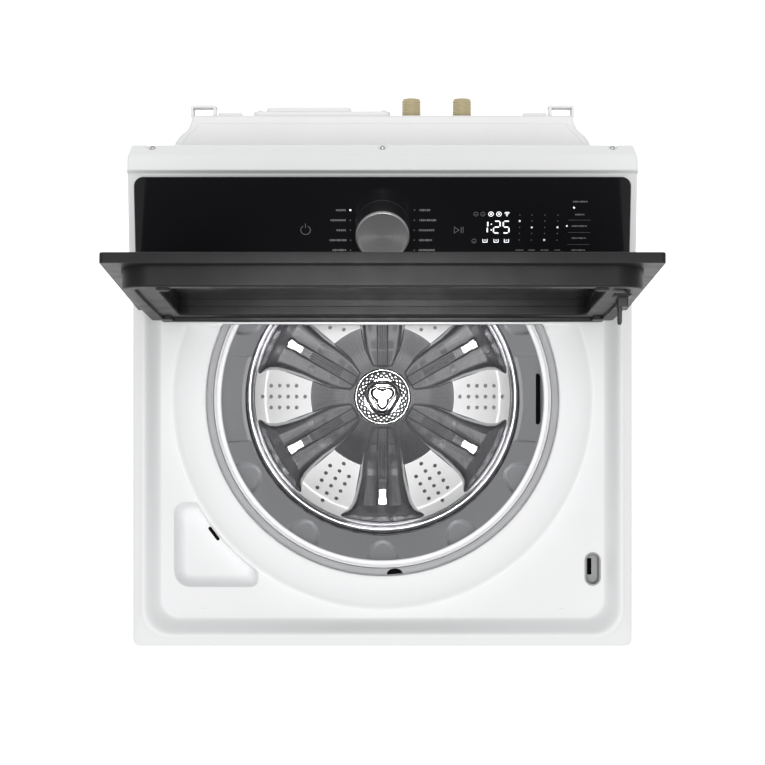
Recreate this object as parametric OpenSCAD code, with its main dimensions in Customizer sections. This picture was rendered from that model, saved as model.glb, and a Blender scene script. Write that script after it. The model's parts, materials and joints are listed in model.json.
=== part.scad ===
// Top-loading washing machine with its lid open. +Z is up and the front faces -Y.
// The origin is on the floor, under the middle of the machine. Inside the modules the
// tub's axis is x = 0, y = 0, and place() moves the result into the machine's frame.

/* [Cabinet] */
// Width of the cabinet
body_w = 686; // [684:1:688]
// From the tub's axis to the cabinet's front face
front_reach = 339; // [338:1:342]
// From the tub's axis to the cabinet's back panel
back_reach = 340; // [338:1:342]
// Height of the steel cabinet's top edge
cabinet_top = 975; // [973:1:975]
// Thickness of the cabinet's steel
sheet = 0.8; // [0.7:0.1:1.2]
// Radius of the cabinet's upright corners
corner_r = 10; // [6:1:14]

/* [Top cover] */
// Height of the raised rim round the top cover
rim_z = 1006; // [1005:0.5:1007]
// Height of the sunken deck that the lid closes over
deck_z = 982; // [981:0.5:982]
// Radius of the tub opening at its narrowest
mouth_r = 245; // [243:1:247]
// Radius of the funnel's ridge, where it meets the deck
ridge_r = 286; // [284:1:288]
// Height of the funnel's lower edge
mouth_z = 965; // [964:1:966]
// From the tub's axis to the opening's straight rear edge
mouth_back = 104; // [103:1:106]

/* [Console] */
// Slope of the console's face, in degrees
console_slope = 28; // [27:0.5:29]
// Height of the face's upper edge
face_top_z = 1118; // [1116:1:1120]
// From the tub's axis to the face's upper edge
face_top_y = 294; // [292:1:295]
// Half the width of the glass at its upper edge
glass_half = 328; // [325:1:329]
// Thickness of the glass
glass_t = 3; // [3:0.5:3.5]
// Radius of the knob at the glass
knob_r = 36.5; // [34:0.5:38]
// Height of the knob above the glass
knob_h = 40; // [36:1:42]

/* [Lid] */
// Width of the lid
lid_w = 664; // [658:1:666]
// Length of the lid in front of its hinge
lid_l = 450; // [446:1:452]
// Thickness of the lid's rim
lid_rim = 13; // [12:0.5:14]
// How far the lid turns from closed to fully open, in degrees
lid_open = 95.5; // [92:0.5:96]
// From the tub's axis back to the hinge
hinge_y = 124; // [123:0.5:125]
// Height of the hinge
hinge_z = 1015; // [1015:0.5:1016]

/* [Tub and basket] */
// Inside radius of the outer tub
tub_r = 290; // [288:1:291]
// Height of the outer tub's rim
tub_top = 930; // [928:1:930]
// Inside radius of the basket
basket_r = 272; // [270:1:274]
// Inside radius of the balance ring at its top
ring_top_r = 226; // [224:1:228]
// Inside radius of the balance ring at its bottom
ring_low_r = 197; // [195:1:200]
// Radius of the pulsator
pulsator_r = 245; // [243:1:247]
// Radius of the pulsator's hub cap
hub_r = 46.5; // [44:0.5:47]
// Radius of the drive shaft
shaft_r = 9; // [8:0.5:9]

/* [Suspension and feet] */
// From the tub's axis to each rod, along X and along Y
rod_at = 262; // [261:0.5:264]
// Radius of a suspension rod
rod_r = 4; // [3.5:0.25:4]
// Turns of each suspension spring
spring_turns = 5; // [4:1:6]
// From the middle of the machine to a foot, along X
foot_x = 300; // [295:1:302]
// Radius of a foot's stem
foot_stem_r = 6; // [5:0.5:6]

/* [Water connections] */
// Radius of the threaded water inlets
inlet_r = 13.2; // [13:0.1:13.3]
// Height of the water inlets
inlet_z = 968; // [966:1:970]
// Radius of the drain outlet
drain_r = 15; // [14:0.5:15]

/* [Hidden] */
$fn = 64;

half_w = body_w / 2;
tub_y = -38.5;
eps = 0.01;
run = 0.06;

// Lid: z0 is the rim's inner plane when closed, measured from the hinge
lid_half = lid_w / 2;
lid_z0 = -4;
lid_z1 = lid_z0 + lid_rim;
lid_back = 5;
lid_glass_t = 4;
window_half = 272;
window_near = 52;
window_far = 395;
inner_half = 312;
inner_near = 10;
inner_far = 428;
inner_corner = 36;
inner_deep = 25;
inner_shallow = 16;
notch_from = 300;
pin_r = 5;

// Recess of the deck, inside which the lid's inner frame comes down
recess_half = 316;
recess_front = -312;
recess_back = 138;
cover_wall = 3;

// Lid lock, under the front right of the deck
lock_x = [279, 301];
lock_y = [-257, -211];
slot_x = [283.6, 289.6];
slot_y = [-243, -220];
lock_floor = 964;
bolt_y = -229;
bolt_z = 956;
bolt_r = 3;

// Bleach pocket, in the front left corner of the deck
bleach_x = [-287, -172];
bleach_y = [-258, -142];
bleach_r = 293;
bleach_z = 960;

// Detergent drawer, behind the opening's straight edge
drawer_half = 110;
drawer_z = [954, 979];

// Console face
tan_slope = tan(console_slope);
function face_z(y) = face_top_z - (face_top_y - y) * tan_slope;
console_front = 141;
glass_low_y = 147;
glass_len = (face_top_y - glass_low_y) / cos(console_slope);
glass_low_half = glass_half + glass_len * tan(1.7);
knob_y = 234;

// Rear housing
rear_back = 390;
rear_z = [865, 1000];
inlet_x = [40, 110];
inlet_end = 416;
collar_r = 16;
collar_end = 391;

// Drive train heights
rotor_z = 116;
stator_z = [165, 195];
plate_bottom = 300;
hub_z = 386;

tub_wall = 3;

// Suspension heights
washer_z = 262;
spring_z = [266, 336];
socket_z = 898;

// Drain pump
pump_x = -236;
pump_y = -110;
shelf_z = [66, 70];
drain_z = 120;

base_z = 28;
base_plate = 4;
foot_y = [-298, 300];

module place() {
    translate([0, tub_y, 0]) children();
}

module slab(x, y, z) {
    translate([x[0], y[0], z[0]]) cube([x[1] - x[0], y[1] - y[0], z[1] - z[0]]);
}

module both_sides() {
    children();
    mirror([1, 0, 0]) children();
}

module tube(outer, inner, z) {
    translate([0, 0, z[0]]) difference() {
        cylinder(r = outer, h = z[1] - z[0]);
        translate([0, 0, -1]) cylinder(r = inner, h = z[1] - z[0] + 2);
    }
}

module rounded_rect(x, y, r) {
    translate([x[0] + r, y[0]]) square([x[1] - x[0] - 2 * r, y[1] - y[0]]);
    translate([x[0], y[0] + r]) square([x[1] - x[0], y[1] - y[0] - 2 * r]);
    for (cx = [x[0] + r, x[1] - r], cy = [y[0] + r, y[1] - r]) translate([cx, cy]) circle(r);
}

module rounded_box(x, y, z, r) {
    translate([0, 0, z[0]]) linear_extrude(z[1] - z[0]) rounded_rect(x, y, r);
}

// A profile in the Y-Z plane, given as [y, z] points, extruded across X
module across(points, half) {
    translate([-half, 0, 0]) rotate([90, 0, 90]) linear_extrude(2 * half) polygon(points);
}

module along_y(x, z, y, r) {
    translate([x, y[0], z]) rotate([-90, 0, 0]) cylinder(r = r, h = y[1] - y[0]);
}

module along_x(y, z, x, r) {
    translate([x[0], y, z]) rotate([0, 90, 0]) cylinder(r = r, h = x[1] - x[0]);
}

// ---- Base and feet

module base_frame() {
    outer = half_w - sheet;
    inner = outer - 48;
    front = -front_reach + sheet;
    back = back_reach - sheet;
    skirt = 3;
    skirt_top = 72;
    place() color("dimgray") difference() {
        union() {
            difference() {
                rounded_box([-outer, outer], [front, back], [base_z, skirt_top], corner_r - sheet);
                rounded_box([-outer + skirt, outer - skirt], [front + skirt, back - skirt],
                    [base_z + base_plate, skirt_top + 1], corner_r - sheet - skirt);
                slab([-inner, inner], [front + 48, back - 48], [base_z - 1, base_z + 5]);
            }
            for (x = [-foot_x, foot_x], y = foot_y) translate([x, y, base_z])
                cylinder(r = 16, h = 26);
            slab([-outer + 1, -175], [pump_y - 55, pump_y + 55], shelf_z);
        }
        for (x = [-foot_x, foot_x], y = foot_y) translate([x, y, base_z - 1])
            cylinder(r = foot_stem_r + run, h = 40);
    }
}

module foot(x, y) {
    place() color("darkslategray") translate([x, y, 0]) {
        cylinder(r1 = 22, r2 = 24, h = 6);
        translate([0, 0, 6]) cylinder(r1 = 24, r2 = 15, h = 6);
        translate([0, 0, 12]) cylinder(r = foot_stem_r, h = 50);
    }
}

module foot_front_left() {
    foot(-foot_x, foot_y[0]);
}

module foot_front_right() {
    foot(foot_x, foot_y[0]);
}

module foot_rear_left() {
    foot(-foot_x, foot_y[1]);
}

module foot_rear_right() {
    foot(foot_x, foot_y[1]);
}

module foot_nuts() {
    place() color("silver")
    for (x = [-foot_x, foot_x], y = foot_y) translate([x, y, base_z - 6]) difference() {
        cylinder(r = 11, h = 6, $fn = 6);
        translate([0, 0, -1]) cylinder(r = foot_stem_r + run, h = 8);
    }
}

// ---- Cabinet

module cabinet_shell() {
    rear_edge = 318;
    place() color("white") difference() {
        rounded_box([-half_w, half_w], [-front_reach, back_reach], [30, cabinet_top], corner_r);
        rounded_box([-half_w + sheet, half_w - sheet],
            [-front_reach + sheet, back_reach - sheet], [29, cabinet_top + 1], corner_r - sheet);
        slab([-rear_edge, rear_edge], [back_reach - 20, back_reach + 1], [29, cabinet_top + 1]);
    }
}

module back_panel() {
    place() color("gainsboro") difference() {
        slab([-318, 318], [back_reach - sheet, back_reach], [34, cabinet_top]);
        slab([-250, 250], [back_reach - 5, back_reach + 5], [880, 960]);
        along_y(pump_x, drain_z, [back_reach - 5, back_reach + 5], drain_r + 2.5);
        along_y(-290, 160, [back_reach - 5, back_reach + 5], 9);
    }
}

// Outline of the rear housing: straight sides that step in through an S-curve
module rear_outline(shrink, back) {
    side = [[286, back_reach], [285, 352], [278, 362], [268, 370], [263, 380]];
    points = concat([for (p = side) [p[0] - shrink, p[1]]], [[262 - shrink, back]]);
    polygon(concat(points, [for (i = [len(points) - 1 : -1 : 0]) [-points[i][0], points[i][1]]]));
}

module rear_housing() {
    wall = 2.5;
    place() color("white") difference() {
        translate([0, 0, rear_z[0]]) linear_extrude(rear_z[1] - rear_z[0]) rear_outline(0, rear_back);
        difference() {
            translate([0, 0, rear_z[0] + wall]) linear_extrude(rear_z[1] - rear_z[0] - 2 * wall)
                rear_outline(wall, rear_back - wall);
            slab([-300, 300], [0, back_reach + eps], [0, 2000]);
        }
        slab([-240, 240], [back_reach - 1, back_reach + 2], [885, 955]);
        for (x = inlet_x) along_y(x, inlet_z, [rear_back - 10, rear_back + 10], collar_r + 0.3);
    }
}

module hose_hooks() {
    place() color("whitesmoke") both_sides() {
        slab([229, 233], [rear_back, 402], [958, 992]);
        slab([260, 264], [rear_back, 402], [958, 992]);
        slab([229, 264], [402, 405], [958, 992]);
        slab([193, 226], [rear_back, 395], [955, 990]);
    }
}

module service_cover() {
    place() color("whitesmoke") {
        slab([-178, 11], [rear_back, 397], [880, 991]);
        slab([-160, -43], [397, 403], [890, 986]);
    }
}

// ---- Top cover

module deck_opening() {
    intersection() {
        union() {
            translate([0, 0, mouth_z]) cylinder(r1 = mouth_r, r2 = ridge_r, h = deck_z - mouth_z);
            translate([0, 0, mouth_z - 20]) cylinder(r = mouth_r, h = 60);
            translate([0, 0, deck_z - eps]) cylinder(r = ridge_r, h = 10);
        }
        slab([-400, 400], [-400, mouth_back], [900, 1100]);
    }
}

module funnel_wall() {
    intersection() {
        rotate_extrude() polygon([[mouth_r, mouth_z], [mouth_r, mouth_z - 6], [mouth_r + 3, mouth_z - 6],
            [mouth_r + 3, mouth_z - 2], [ridge_r + 3, deck_z - 3], [ridge_r + 3, deck_z], [ridge_r, deck_z]]);
        slab([-400, 400], [-400, mouth_back], [900, 1100]);
    }
}

module bleach_outline(grow) {
    difference() {
        translate([bleach_x[0] - grow, bleach_y[0] - grow])
            square([bleach_x[1] - bleach_x[0] + 2 * grow, bleach_y[1] - bleach_y[0] + 2 * grow]);
        circle(r = bleach_r - grow);
    }
}

module lock_outline(shrink) {
    r = (lock_x[1] - lock_x[0]) / 2;
    mid = (lock_x[0] + lock_x[1]) / 2;
    for (y = [lock_y[0] + r, lock_y[1] - r]) translate([mid, y]) circle(r - shrink);
    translate([lock_x[0] + shrink, lock_y[0] + r])
        square([2 * r - 2 * shrink, lock_y[1] - lock_y[0] - 2 * r]);
}

module top_cover() {
    w = cover_wall;
    back = back_reach;
    place() color("white") {
        difference() {
            union() {
                rounded_box([-half_w, half_w], [-front_reach, back], [cabinet_top, 1000], corner_r);
                rounded_box([-half_w + 6, half_w - 6], [-front_reach + 6, console_front - w],
                    [1000 - eps, rim_z], corner_r);
            }
            rounded_box([-recess_half, recess_half], [recess_front, recess_back], [deck_z, 1100], 30);
            slab([-recess_half, recess_half], [60, recess_back], [deck_z, 1100]);
            slab([-half_w + w, half_w - w], [-front_reach + w, back - w],
                [cabinet_top - 1, deck_z - w]);
            difference() {
                slab([-half_w + w + 6, half_w - w - 6], [-front_reach + w + 6, back - w],
                    [cabinet_top - 1, 1000 - w]);
                slab([-recess_half - w, recess_half + w], [recess_front - w, recess_back + w],
                    [cabinet_top - 2, 1100]);
            }
            deck_opening();
            translate([0, 0, deck_z - 10]) linear_extrude(20) bleach_outline(0);
            translate([0, 0, deck_z - 10]) linear_extrude(20) lock_outline(0);
        }
        funnel_wall();
    }
}

module bleach_cup() {
    place() color("white") difference() {
        translate([0, 0, bleach_z]) linear_extrude(deck_z - bleach_z) bleach_outline(0);
        translate([0, 0, bleach_z + 2]) linear_extrude(40) difference() {
            translate([bleach_x[0] + 2, bleach_y[0] + 2])
                square([bleach_x[1] - bleach_x[0] - 4, bleach_y[1] - bleach_y[0] - 4]);
            circle(r = bleach_r + 2);
        }
        translate([-235, -187, bleach_z - 1]) rotate([0, 0, 128]) translate([-11, -2.25, 0])
            cube([22, 4.5, 10]);
    }
}

module lock_bezel() {
    place() color("gray") difference() {
        translate([0, 0, lock_floor]) linear_extrude(deck_z - lock_floor) lock_outline(0);
        translate([0, 0, lock_floor + 2]) linear_extrude(40) lock_outline(1.5);
        slab(slot_x, slot_y, [lock_floor - 1, lock_floor + 5]);
    }
}

module lid_lock_body() {
    place() color("dimgray") difference() {
        slab([268, 312], [-270, -200], [932, lock_floor]);
        slab([slot_x[0] - 1.5, slot_x[1] + 1.5], [slot_y[0] - 3, slot_y[1] + 3], [944, lock_floor + 1]);
        along_x(bolt_y, bolt_z, [slot_x[1], 310], bolt_r + run);
    }
}

module lid_lock_bolt() {
    place() color("silver") along_x(bolt_y, bolt_z, [slot_x[1] + 2, 309.5], bolt_r);
}

// ---- Detergent drawer

// The wall across the opening's straight edge, and the pocket that the drawer runs in
module drawer_housing() {
    half = drawer_half + 4;
    wall_half = 222;
    top = deck_z - cover_wall;
    place() color("gainsboro") difference() {
        union() {
            slab([-wall_half, wall_half], [mouth_back, mouth_back + cover_wall], [drawer_z[0] - 2, top]);
            slab([-half, half], [mouth_back + cover_wall, 260], [drawer_z[0] - 2, top]);
        }
        slab([-drawer_half - 2, drawer_half + 2], [mouth_back - 1, mouth_back + 5],
            [drawer_z[0] - 0.4, top + 1]);
        slab([-drawer_half - 1, drawer_half + 1], [mouth_back, 256], [drawer_z[0] - 0.4, top + 1]);
    }
}

module detergent_drawer() {
    floor_t = 2;
    place() color("lightgray") difference() {
        union() {
            slab([-drawer_half, drawer_half], [mouth_back - 1, mouth_back + 4],
                [drawer_z[0], drawer_z[1] - 0.5]);
            slab([-drawer_half + 4, drawer_half - 4], [mouth_back + 3, 240], [drawer_z[0], drawer_z[1] - 3]);
        }
        for (x = [[-104, -4], [-1, 104]])
            slab(x, [mouth_back + 6, 238], [drawer_z[0] + floor_t, drawer_z[1] + 5]);
        slab([-30, 30], [mouth_back - 2, mouth_back + 1.5], [drawer_z[0] - 1, drawer_z[0] + 8]);
    }
}

// ---- Console

// Puts its children on the console's face: x across, y up the slope, z out of the glass
module on_face(x, y) {
    translate([x, y, face_z(y)]) rotate([console_slope, 0, 0]) children();
}

module glass_plate(z, grow) {
    on_face(0, face_top_y) translate([0, 0, z[0]]) linear_extrude(z[1] - z[0])
        polygon([[-glass_half - grow, grow], [glass_half + grow, grow],
            [glass_low_half + grow, -glass_len - grow], [-glass_low_half - grow, -glass_len - grow]]);
}

module console_housing() {
    w = 3;
    drop = (glass_t + w) / cos(console_slope);
    outer = [[console_front, 1000], [console_front, face_z(console_front)], [face_top_y, face_top_z],
        [302, 1130], [323, 1130], [337, 1123], [337, 1000]];
    inner = [[console_front + w, 999], [console_front + w, face_z(console_front + w) - drop],
        [291, face_z(291) - drop], [303, 1127], [322, 1127], [334, 1121], [334, 999]];
    place() color("white") difference() {
        across(outer, half_w);
        across(inner, half_w - w);
        glass_plate([-glass_t, 20], 0);
        on_face(0, knob_y) translate([0, 0, -20]) cylinder(r = 8, h = 40);
    }
}

module console_glass() {
    place() color([0.09, 0.09, 0.1]) difference() {
        glass_plate([-glass_t, 0], 0);
        on_face(0, knob_y) translate([0, 0, -20]) cylinder(r = 8, h = 40);
    }
}

module control_knob() {
    place() color("dimgray") on_face(0, knob_y) difference() {
        union() {
            translate([0, 0, 0.5]) cylinder(r1 = knob_r, r2 = knob_r - 1, h = 12);
            translate([0, 0, 12.5]) cylinder(r1 = knob_r - 1, r2 = knob_r - 3, h = knob_h - 12.5);
        }
        translate([0, 0, -1]) tube(knob_r - 4, 7, [0, knob_h - 3]);
        translate([0, 0, -1]) cylinder(r = 3 + run, h = 30);
    }
}

module knob_encoder() {
    place() color("darkgray") on_face(0, knob_y) {
        translate([0, 0, -18]) cylinder(r = 3, h = 44);
        translate([-9, -9, -24]) cube([18, 18, 8]);
    }
}

module display_board() {
    place() color("darkgreen") difference() {
        on_face(0, 220) translate([-270, -55, -27]) cube([540, 110, 1.6]);
        on_face(0, knob_y) translate([-10, -10, -30]) cube([20, 20, 10]);
    }
}

module main_control_box() {
    place() color("dimgray") difference() {
        slab([150, 310], [180, 320], [1000, 1030]);
        slab([153, 307], [183, 317], [1003, 1031]);
    }
}

// ---- Lid. Its modules are drawn closed, hinge at the origin, and swung open.

module lid_place() {
    place() translate([0, hinge_y, hinge_z]) rotate([-lid_open, 0, 0]) children();
}

// A slab of the lid: x across, l is the distance in front of the hinge
module lid_slab(x, l, z) {
    slab(x, [-l[1], -l[0]], z);
}

// Room for the hinge brackets at the lid's two rear corners
module hinge_notch(reach, grow = 0) {
    both_sides() lid_slab([notch_from - grow, lid_half + 1], [-lid_back - 1, reach], [-60, 20]);
}

module lid_outer_frame() {
    lip = 6;
    lid_place() color([0.17, 0.17, 0.18]) difference() {
        rounded_box([-lid_half, lid_half], [-lid_l, lid_back], [lid_z0, lid_z1], 5);
        lid_slab([-lid_half + lip, lid_half - lip], [lip, lid_l - lip],
            [lid_z1 - lid_glass_t, lid_z1 + 1]);
        lid_slab([-window_half, window_half], [window_near, window_far], [lid_z0 - 1, lid_z1 + 1]);
        hinge_notch(15);
        both_sides() along_x(0, 0, [279, notch_from + 1], pin_r);
    }
}

module lid_glass() {
    lip = 6;
    lid_place() color([0.12, 0.12, 0.13]) difference() {
        lid_slab([-lid_half + lip, lid_half - lip], [lip, lid_l - lip], [lid_z1 - lid_glass_t, lid_z1]);
        hinge_notch(15);
    }
}

// Body of the inner frame, deeper towards the lid's free edge, less a wall all round
module inner_wedge(wall) {
    near = inner_near + wall;
    far = inner_far - wall;
    half = inner_half - wall;
    intersection() {
        across([[-far, lid_z0 + eps], [-near, lid_z0 + eps], [-near, lid_z0 - inner_shallow + wall],
            [-inner_far + 82, lid_z0 - inner_deep + wall], [-far, lid_z0 - inner_deep + wall]], half);
        rounded_box([-half, half], [-far, 100], [lid_z0 - 60, lid_z0], inner_corner - wall);
    }
}

module lid_inner_frame() {
    wall = 3;
    notch = 34;
    lid_place() color([0.2, 0.2, 0.21]) difference() {
        inner_wedge(0);
        lid_slab([-window_half, window_half], [window_near, window_far], [-60, 10]);
        hinge_notch(notch);
        difference() {
            translate([0, 0, eps]) inner_wedge(wall);
            lid_slab([-window_half - wall, window_half + wall],
                [window_near - wall, window_far + wall], [-60, 10]);
            hinge_notch(notch + wall, wall);
        }
    }
}

module lid_hinge_pins() {
    lid_place() color("silver") both_sides() along_x(0, 0, [280, 326], pin_r);
}

module hinge_brackets() {
    place() color("darkgray") both_sides() difference() {
        slab([304, 315.5], [hinge_y - 9, hinge_y + 9], [deck_z, hinge_z + 8]);
        along_x(hinge_y, hinge_z, [300, 330], pin_r + run);
    }
}

module latch_striker() {
    base = lid_z0 - 13;
    shoulder = lid_z0 - 40;
    tip = lid_z0 - 61;
    lid_place() color([0.15, 0.15, 0.16]) difference() {
        union() {
            lid_slab([283, 297], [344, 362], [shoulder, lid_z0 - inner_deep + 2]);
            lid_slab([284.2, 289], [346, 360], [tip, shoulder + 1]);
        }
        along_x(bolt_y - hinge_y, bolt_z - hinge_z, [280, 295], 4.2);
        lid_slab([280, 300], [340, 366], [lid_z0 - inner_deep, base + 20]);
    }
}

module lid_bumpers() {
    lid_place() color("black") both_sides() translate([260, -413, lid_z0 - inner_deep - 3])
        cylinder(r = 8.5, h = 3);
}

// ---- Water inlets and rear fittings

module inlet_valve(x) {
    place() translate([x, 0, inlet_z]) difference() {
        union() {
            along_y(0, 0, [380, collar_end], collar_r);
            along_y(0, 0, [380, inlet_end], inlet_r);
            slab([-17, 17], [352, rear_back - 2.5], [-22, 19]);
            translate([0, 368, -60]) cylinder(r = 13, h = 40);
        }
        along_y(0, 0, [384, inlet_end + 1], 9);
    }
}

module inlet_valve_cold() {
    color("tan") inlet_valve(inlet_x[0]);
}

module inlet_valve_hot() {
    color("tan") inlet_valve(inlet_x[1]);
}

// ---- Tub

module outer_tub() {
    w = tub_wall;
    place() color("gainsboro") difference() {
        union() {
            rotate_extrude() polygon([[55, 236], [tub_r + w, 236], [tub_r + w, tub_top],
                [tub_r, tub_top], [tub_r, 242], [55, 242]]);
            for (a = [45, 135, 225, 315]) rotate([0, 0, a]) difference() {
                slab([tub_r + 2, rod_at * sqrt(2) + 22], [-22, 22], [338, 350]);
                translate([rod_at * sqrt(2), 0, 330]) cylinder(r = 16, h = 30);
            }
            translate([pump_x, pump_y, 218]) cylinder(r = 17, h = 19);
        }
        translate([pump_x, pump_y, 200]) cylinder(r = 14, h = 60);
    }
}

module tub_cover() {
    place() color("darkgray") rotate_extrude() polygon([[237, 937], [300, 937], [300, 920],
        [tub_r + tub_wall, 920], [tub_r + tub_wall, tub_top], [284, tub_top], [284, 933],
        [240, 933], [237, 935]]);
}

module balance_ring() {
    place() color("gray") rotate_extrude() polygon([[ring_low_r, 850], [ring_top_r, 928],
        [ring_top_r + 2, 929.5], [268, 925], [basket_r + 4, 915], [basket_r + 4, 850]]);
}

module basket_wall() {
    place() color("silver") tube(basket_r + 0.7, basket_r, [262, 850]);
}

module basket_base() {
    place() color("gray") rotate_extrude() polygon([[17, 262], [17, 290], [60, 290], [60, 286],
        [basket_r, 286], [basket_r, 262], [268, 262], [268, 280], [60, 280], [60, 262]]);
}

// ---- Pulsator

plate_top = [[hub_r + 0.5, 395], [77, 386], [120, 368], [200, 342], [228, 332], [240, 324]];
wing_lift = [4, 10, 20, 22, 8, 0.5];
petal_lift = [1.5, 1.5, 1.5, 1.5, 1.5, 0.5];

module pulsator_plate() {
    place() color("gray") difference() {
        rotate_extrude() polygon(concat([[shaft_r, hub_z], [hub_r + 0.5, hub_z]], plate_top,
            [[pulsator_r, 312], [pulsator_r, plate_bottom], [pulsator_r - 4, plate_bottom],
            [pulsator_r - 4, 310], [237, 320], [227, 327.5], [199, 337.5], [119, 363], [77, 380.5],
            [24, 380.5], [24, 296], [shaft_r, 296]]));
        translate([0, 0, 290]) cylinder(r = shaft_r, h = 120);
    }
}

// The band between the plate's top and a surface lifted off it, turned round the axis
module lifted_band(lift) {
    rotate_extrude() polygon(concat(plate_top, [for (i = [len(plate_top) - 1 : -1 : 0])
        [plate_top[i][0], plate_top[i][1] + lift[i]]]));
}

module pulsator_wings() {
    place() color("dimgray") intersection() {
        lifted_band(wing_lift);
        for (a = [30 : 60 : 330]) rotate([0, 0, a]) translate([0, 0, 290]) linear_extrude(140)
            polygon([[hub_r + 2, -17], [78, -30], [150, -42], [190, -50], [239, -66], [239, 66], [190, 50],
                [150, 42], [78, 30], [hub_r + 2, 17]]);
    }
}

module pulsator_petals() {
    place() color("white") intersection() {
        lifted_band(petal_lift);
        for (a = [0 : 60 : 300]) rotate([0, 0, a]) translate([0, 0, 290]) linear_extrude(140)
            polygon([[118, -20], [200, -40], [236, -50], [236, 50], [200, 40], [118, 20]]);
    }
}

module hub_cap() {
    place() color("silver") rotate_extrude() polygon([[0, 405], [0, 412], [18, 411], [30, 408],
        [40, 402], [hub_r, 398], [hub_r, hub_z], [30, hub_z], [30, 400], [20, 405]]);
}

module shaft_fasteners() {
    place() color("silver") {
        translate([0, 0, hub_z]) cylinder(r = 14, h = 8, $fn = 6);
        translate([0, 0, 104]) difference() {
            cylinder(r = 16, h = rotor_z - 104, $fn = 6);
            translate([0, 0, -1]) cylinder(r = shaft_r, h = 20);
        }
    }
}

// ---- Drive train

module drive_shaft() {
    place() color("silver") translate([0, 0, 98]) cylinder(r = shaft_r, h = hub_z - 98);
}

module spin_tube() {
    place() color("silver") tube(17, shaft_r + run, [130, 290]);
}

module bearing_housing() {
    place() color("darkgray") rotate_extrude() polygon([[25, 155], [42, 155], [42, 222], [95, 222],
        [95, 236], [35, 236], [35, 218], [22, 218], [22, 173], [31, 173], [31, 158], [25, 158]]);
}

module bearings() {
    place() color("silver") {
        tube(31, 17 + run, [158, 173]);
        tube(35, 17 + run, [218, 235]);
    }
}

module shaft_seal() {
    place() color("black") tube(55, 17 + run, [236, 242]);
}

module clutch_coupler() {
    place() color("ivory") tube(30, 17 + run, [131, 147]);
}

module stator() {
    place() color("peru") difference() {
        union() {
            tube(88, 62, stator_z);
            for (a = [0 : 10 : 350]) rotate([0, 0, a]) slab([86, 126], [-4, 4], [168, 192]);
            for (a = [0 : 60 : 300]) rotate([0, 0, a]) translate([76, 0, 180]) cylinder(r = 6, h = 42);
        }
    }
}

module rotor() {
    place() color("silver") rotate_extrude() polygon([[shaft_r, rotor_z], [136, rotor_z], [136, 198],
        [128.5, 198], [128.5, 160], [133.5, 160], [133.5, 119], [16, 119], [16, 128], [shaft_r, 128]]);
}

// ---- Suspension

module at_rods() {
    for (x = [-rod_at, rod_at], y = [-rod_at, rod_at]) translate([x, y, 0]) children();
}

module suspension_rods() {
    place() color("silver") at_rods() {
        translate([0, 0, washer_z]) cylinder(r = rod_r, h = socket_z + 10 - washer_z);
        translate([0, 0, washer_z]) cylinder(r = 15, h = spring_z[0] - washer_z);
        translate([0, 0, socket_z + 11]) sphere(r = 9);
    }
}

// Corner plates that fit the cabinet's rounded inside, each with a cup for a rod's ball
module rod_sockets() {
    place() color("darkgray") difference() {
        union() {
            intersection() {
                rounded_box([-half_w + sheet, half_w - sheet],
                    [-front_reach + sheet, back_reach - sheet], [socket_z - 4, socket_z], corner_r - sheet);
                for (y = [[-front_reach, -240], [240, back_reach]])
                    both_sides() slab([240, half_w], y, [socket_z - 5, socket_z + 1]);
            }
            at_rods() translate([0, 0, socket_z - eps]) cylinder(r = 15, h = 14);
        }
        at_rods() translate([0, 0, socket_z + 11]) sphere(r = 9.3);
        at_rods() translate([0, 0, socket_z - 10]) cylinder(r = 6, h = 20);
    }
}

module damper_cups() {
    place() color("dimgray") at_rods() difference() {
        union() {
            translate([0, 0, spring_z[1]]) cylinder(r = 19, h = 2);
            translate([0, 0, spring_z[1]]) cylinder(r = 16, h = 24);
        }
        translate([0, 0, spring_z[1] - 1]) cylinder(r = rod_r + 0.4, h = 40);
    }
}

// Wire of a spring: rings of points round a helix, joined into one closed skin
module helix(turns, radius, wire, z) {
    steps = 12 * turns;
    sides = 5;
    rise = (z[1] - z[0] - 2 * wire) / steps;
    points = [for (i = [0 : steps], k = [0 : sides - 1])
        let (a = 30 * i, b = 360 * k / sides, r = radius + wire * cos(b))
        [r * cos(a), r * sin(a), z[0] + wire + rise * i + wire * sin(b)]];
    skin = [for (i = [0 : steps - 1], k = [0 : sides - 1])
        let (a = i * sides, b = a + sides, n = (k + 1) % sides)
        each [[a + k, b + k, b + n], [a + k, b + n, a + n]]];
    first = [for (k = [0 : sides - 1]) k];
    last = [for (k = [sides - 1 : -1 : 0]) steps * sides + k];
    polyhedron(points, concat(skin, [first, last]));
}

module suspension_springs() {
    place() color("slategray") at_rods()
        helix(spring_turns, 10, 2, [spring_z[0] + 0.2, spring_z[1] - 0.2]);
}

// ---- Drain

module drain_pump() {
    place() color("dimgray") translate([pump_x, pump_y, 0]) {
        difference() {
            union() {
                translate([0, 0, shelf_z[1]]) cylinder(r = 32, h = 36);
                translate([0, 0, 104]) cylinder(r = 46, h = 34);
                translate([0, 0, 136]) cylinder(r = 17, h = 20);
                rotate([-90, 0, 0]) translate([0, -drain_z, 30]) cylinder(r = 13.8, h = 46);
            }
            translate([0, 0, 107]) cylinder(r = 42, h = 28);
            translate([0, 0, 130]) cylinder(r = 13, h = 40);
            rotate([-90, 0, 0]) translate([0, -drain_z, 0]) cylinder(r = 10, h = 90);
            translate([0, 0, 80]) cylinder(r = 4 + run, h = 40);
        }
    }
}

module pump_impeller() {
    place() color("black") translate([pump_x, pump_y, 0]) {
        translate([0, 0, 84]) cylinder(r = 4, h = 40);
        for (a = [0 : 60 : 300]) rotate([0, 0, a]) slab([0, 37], [-1.5, 1.5], [109, 128]);
        translate([0, 0, 108]) cylinder(r = 37, h = 2);
    }
}

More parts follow.
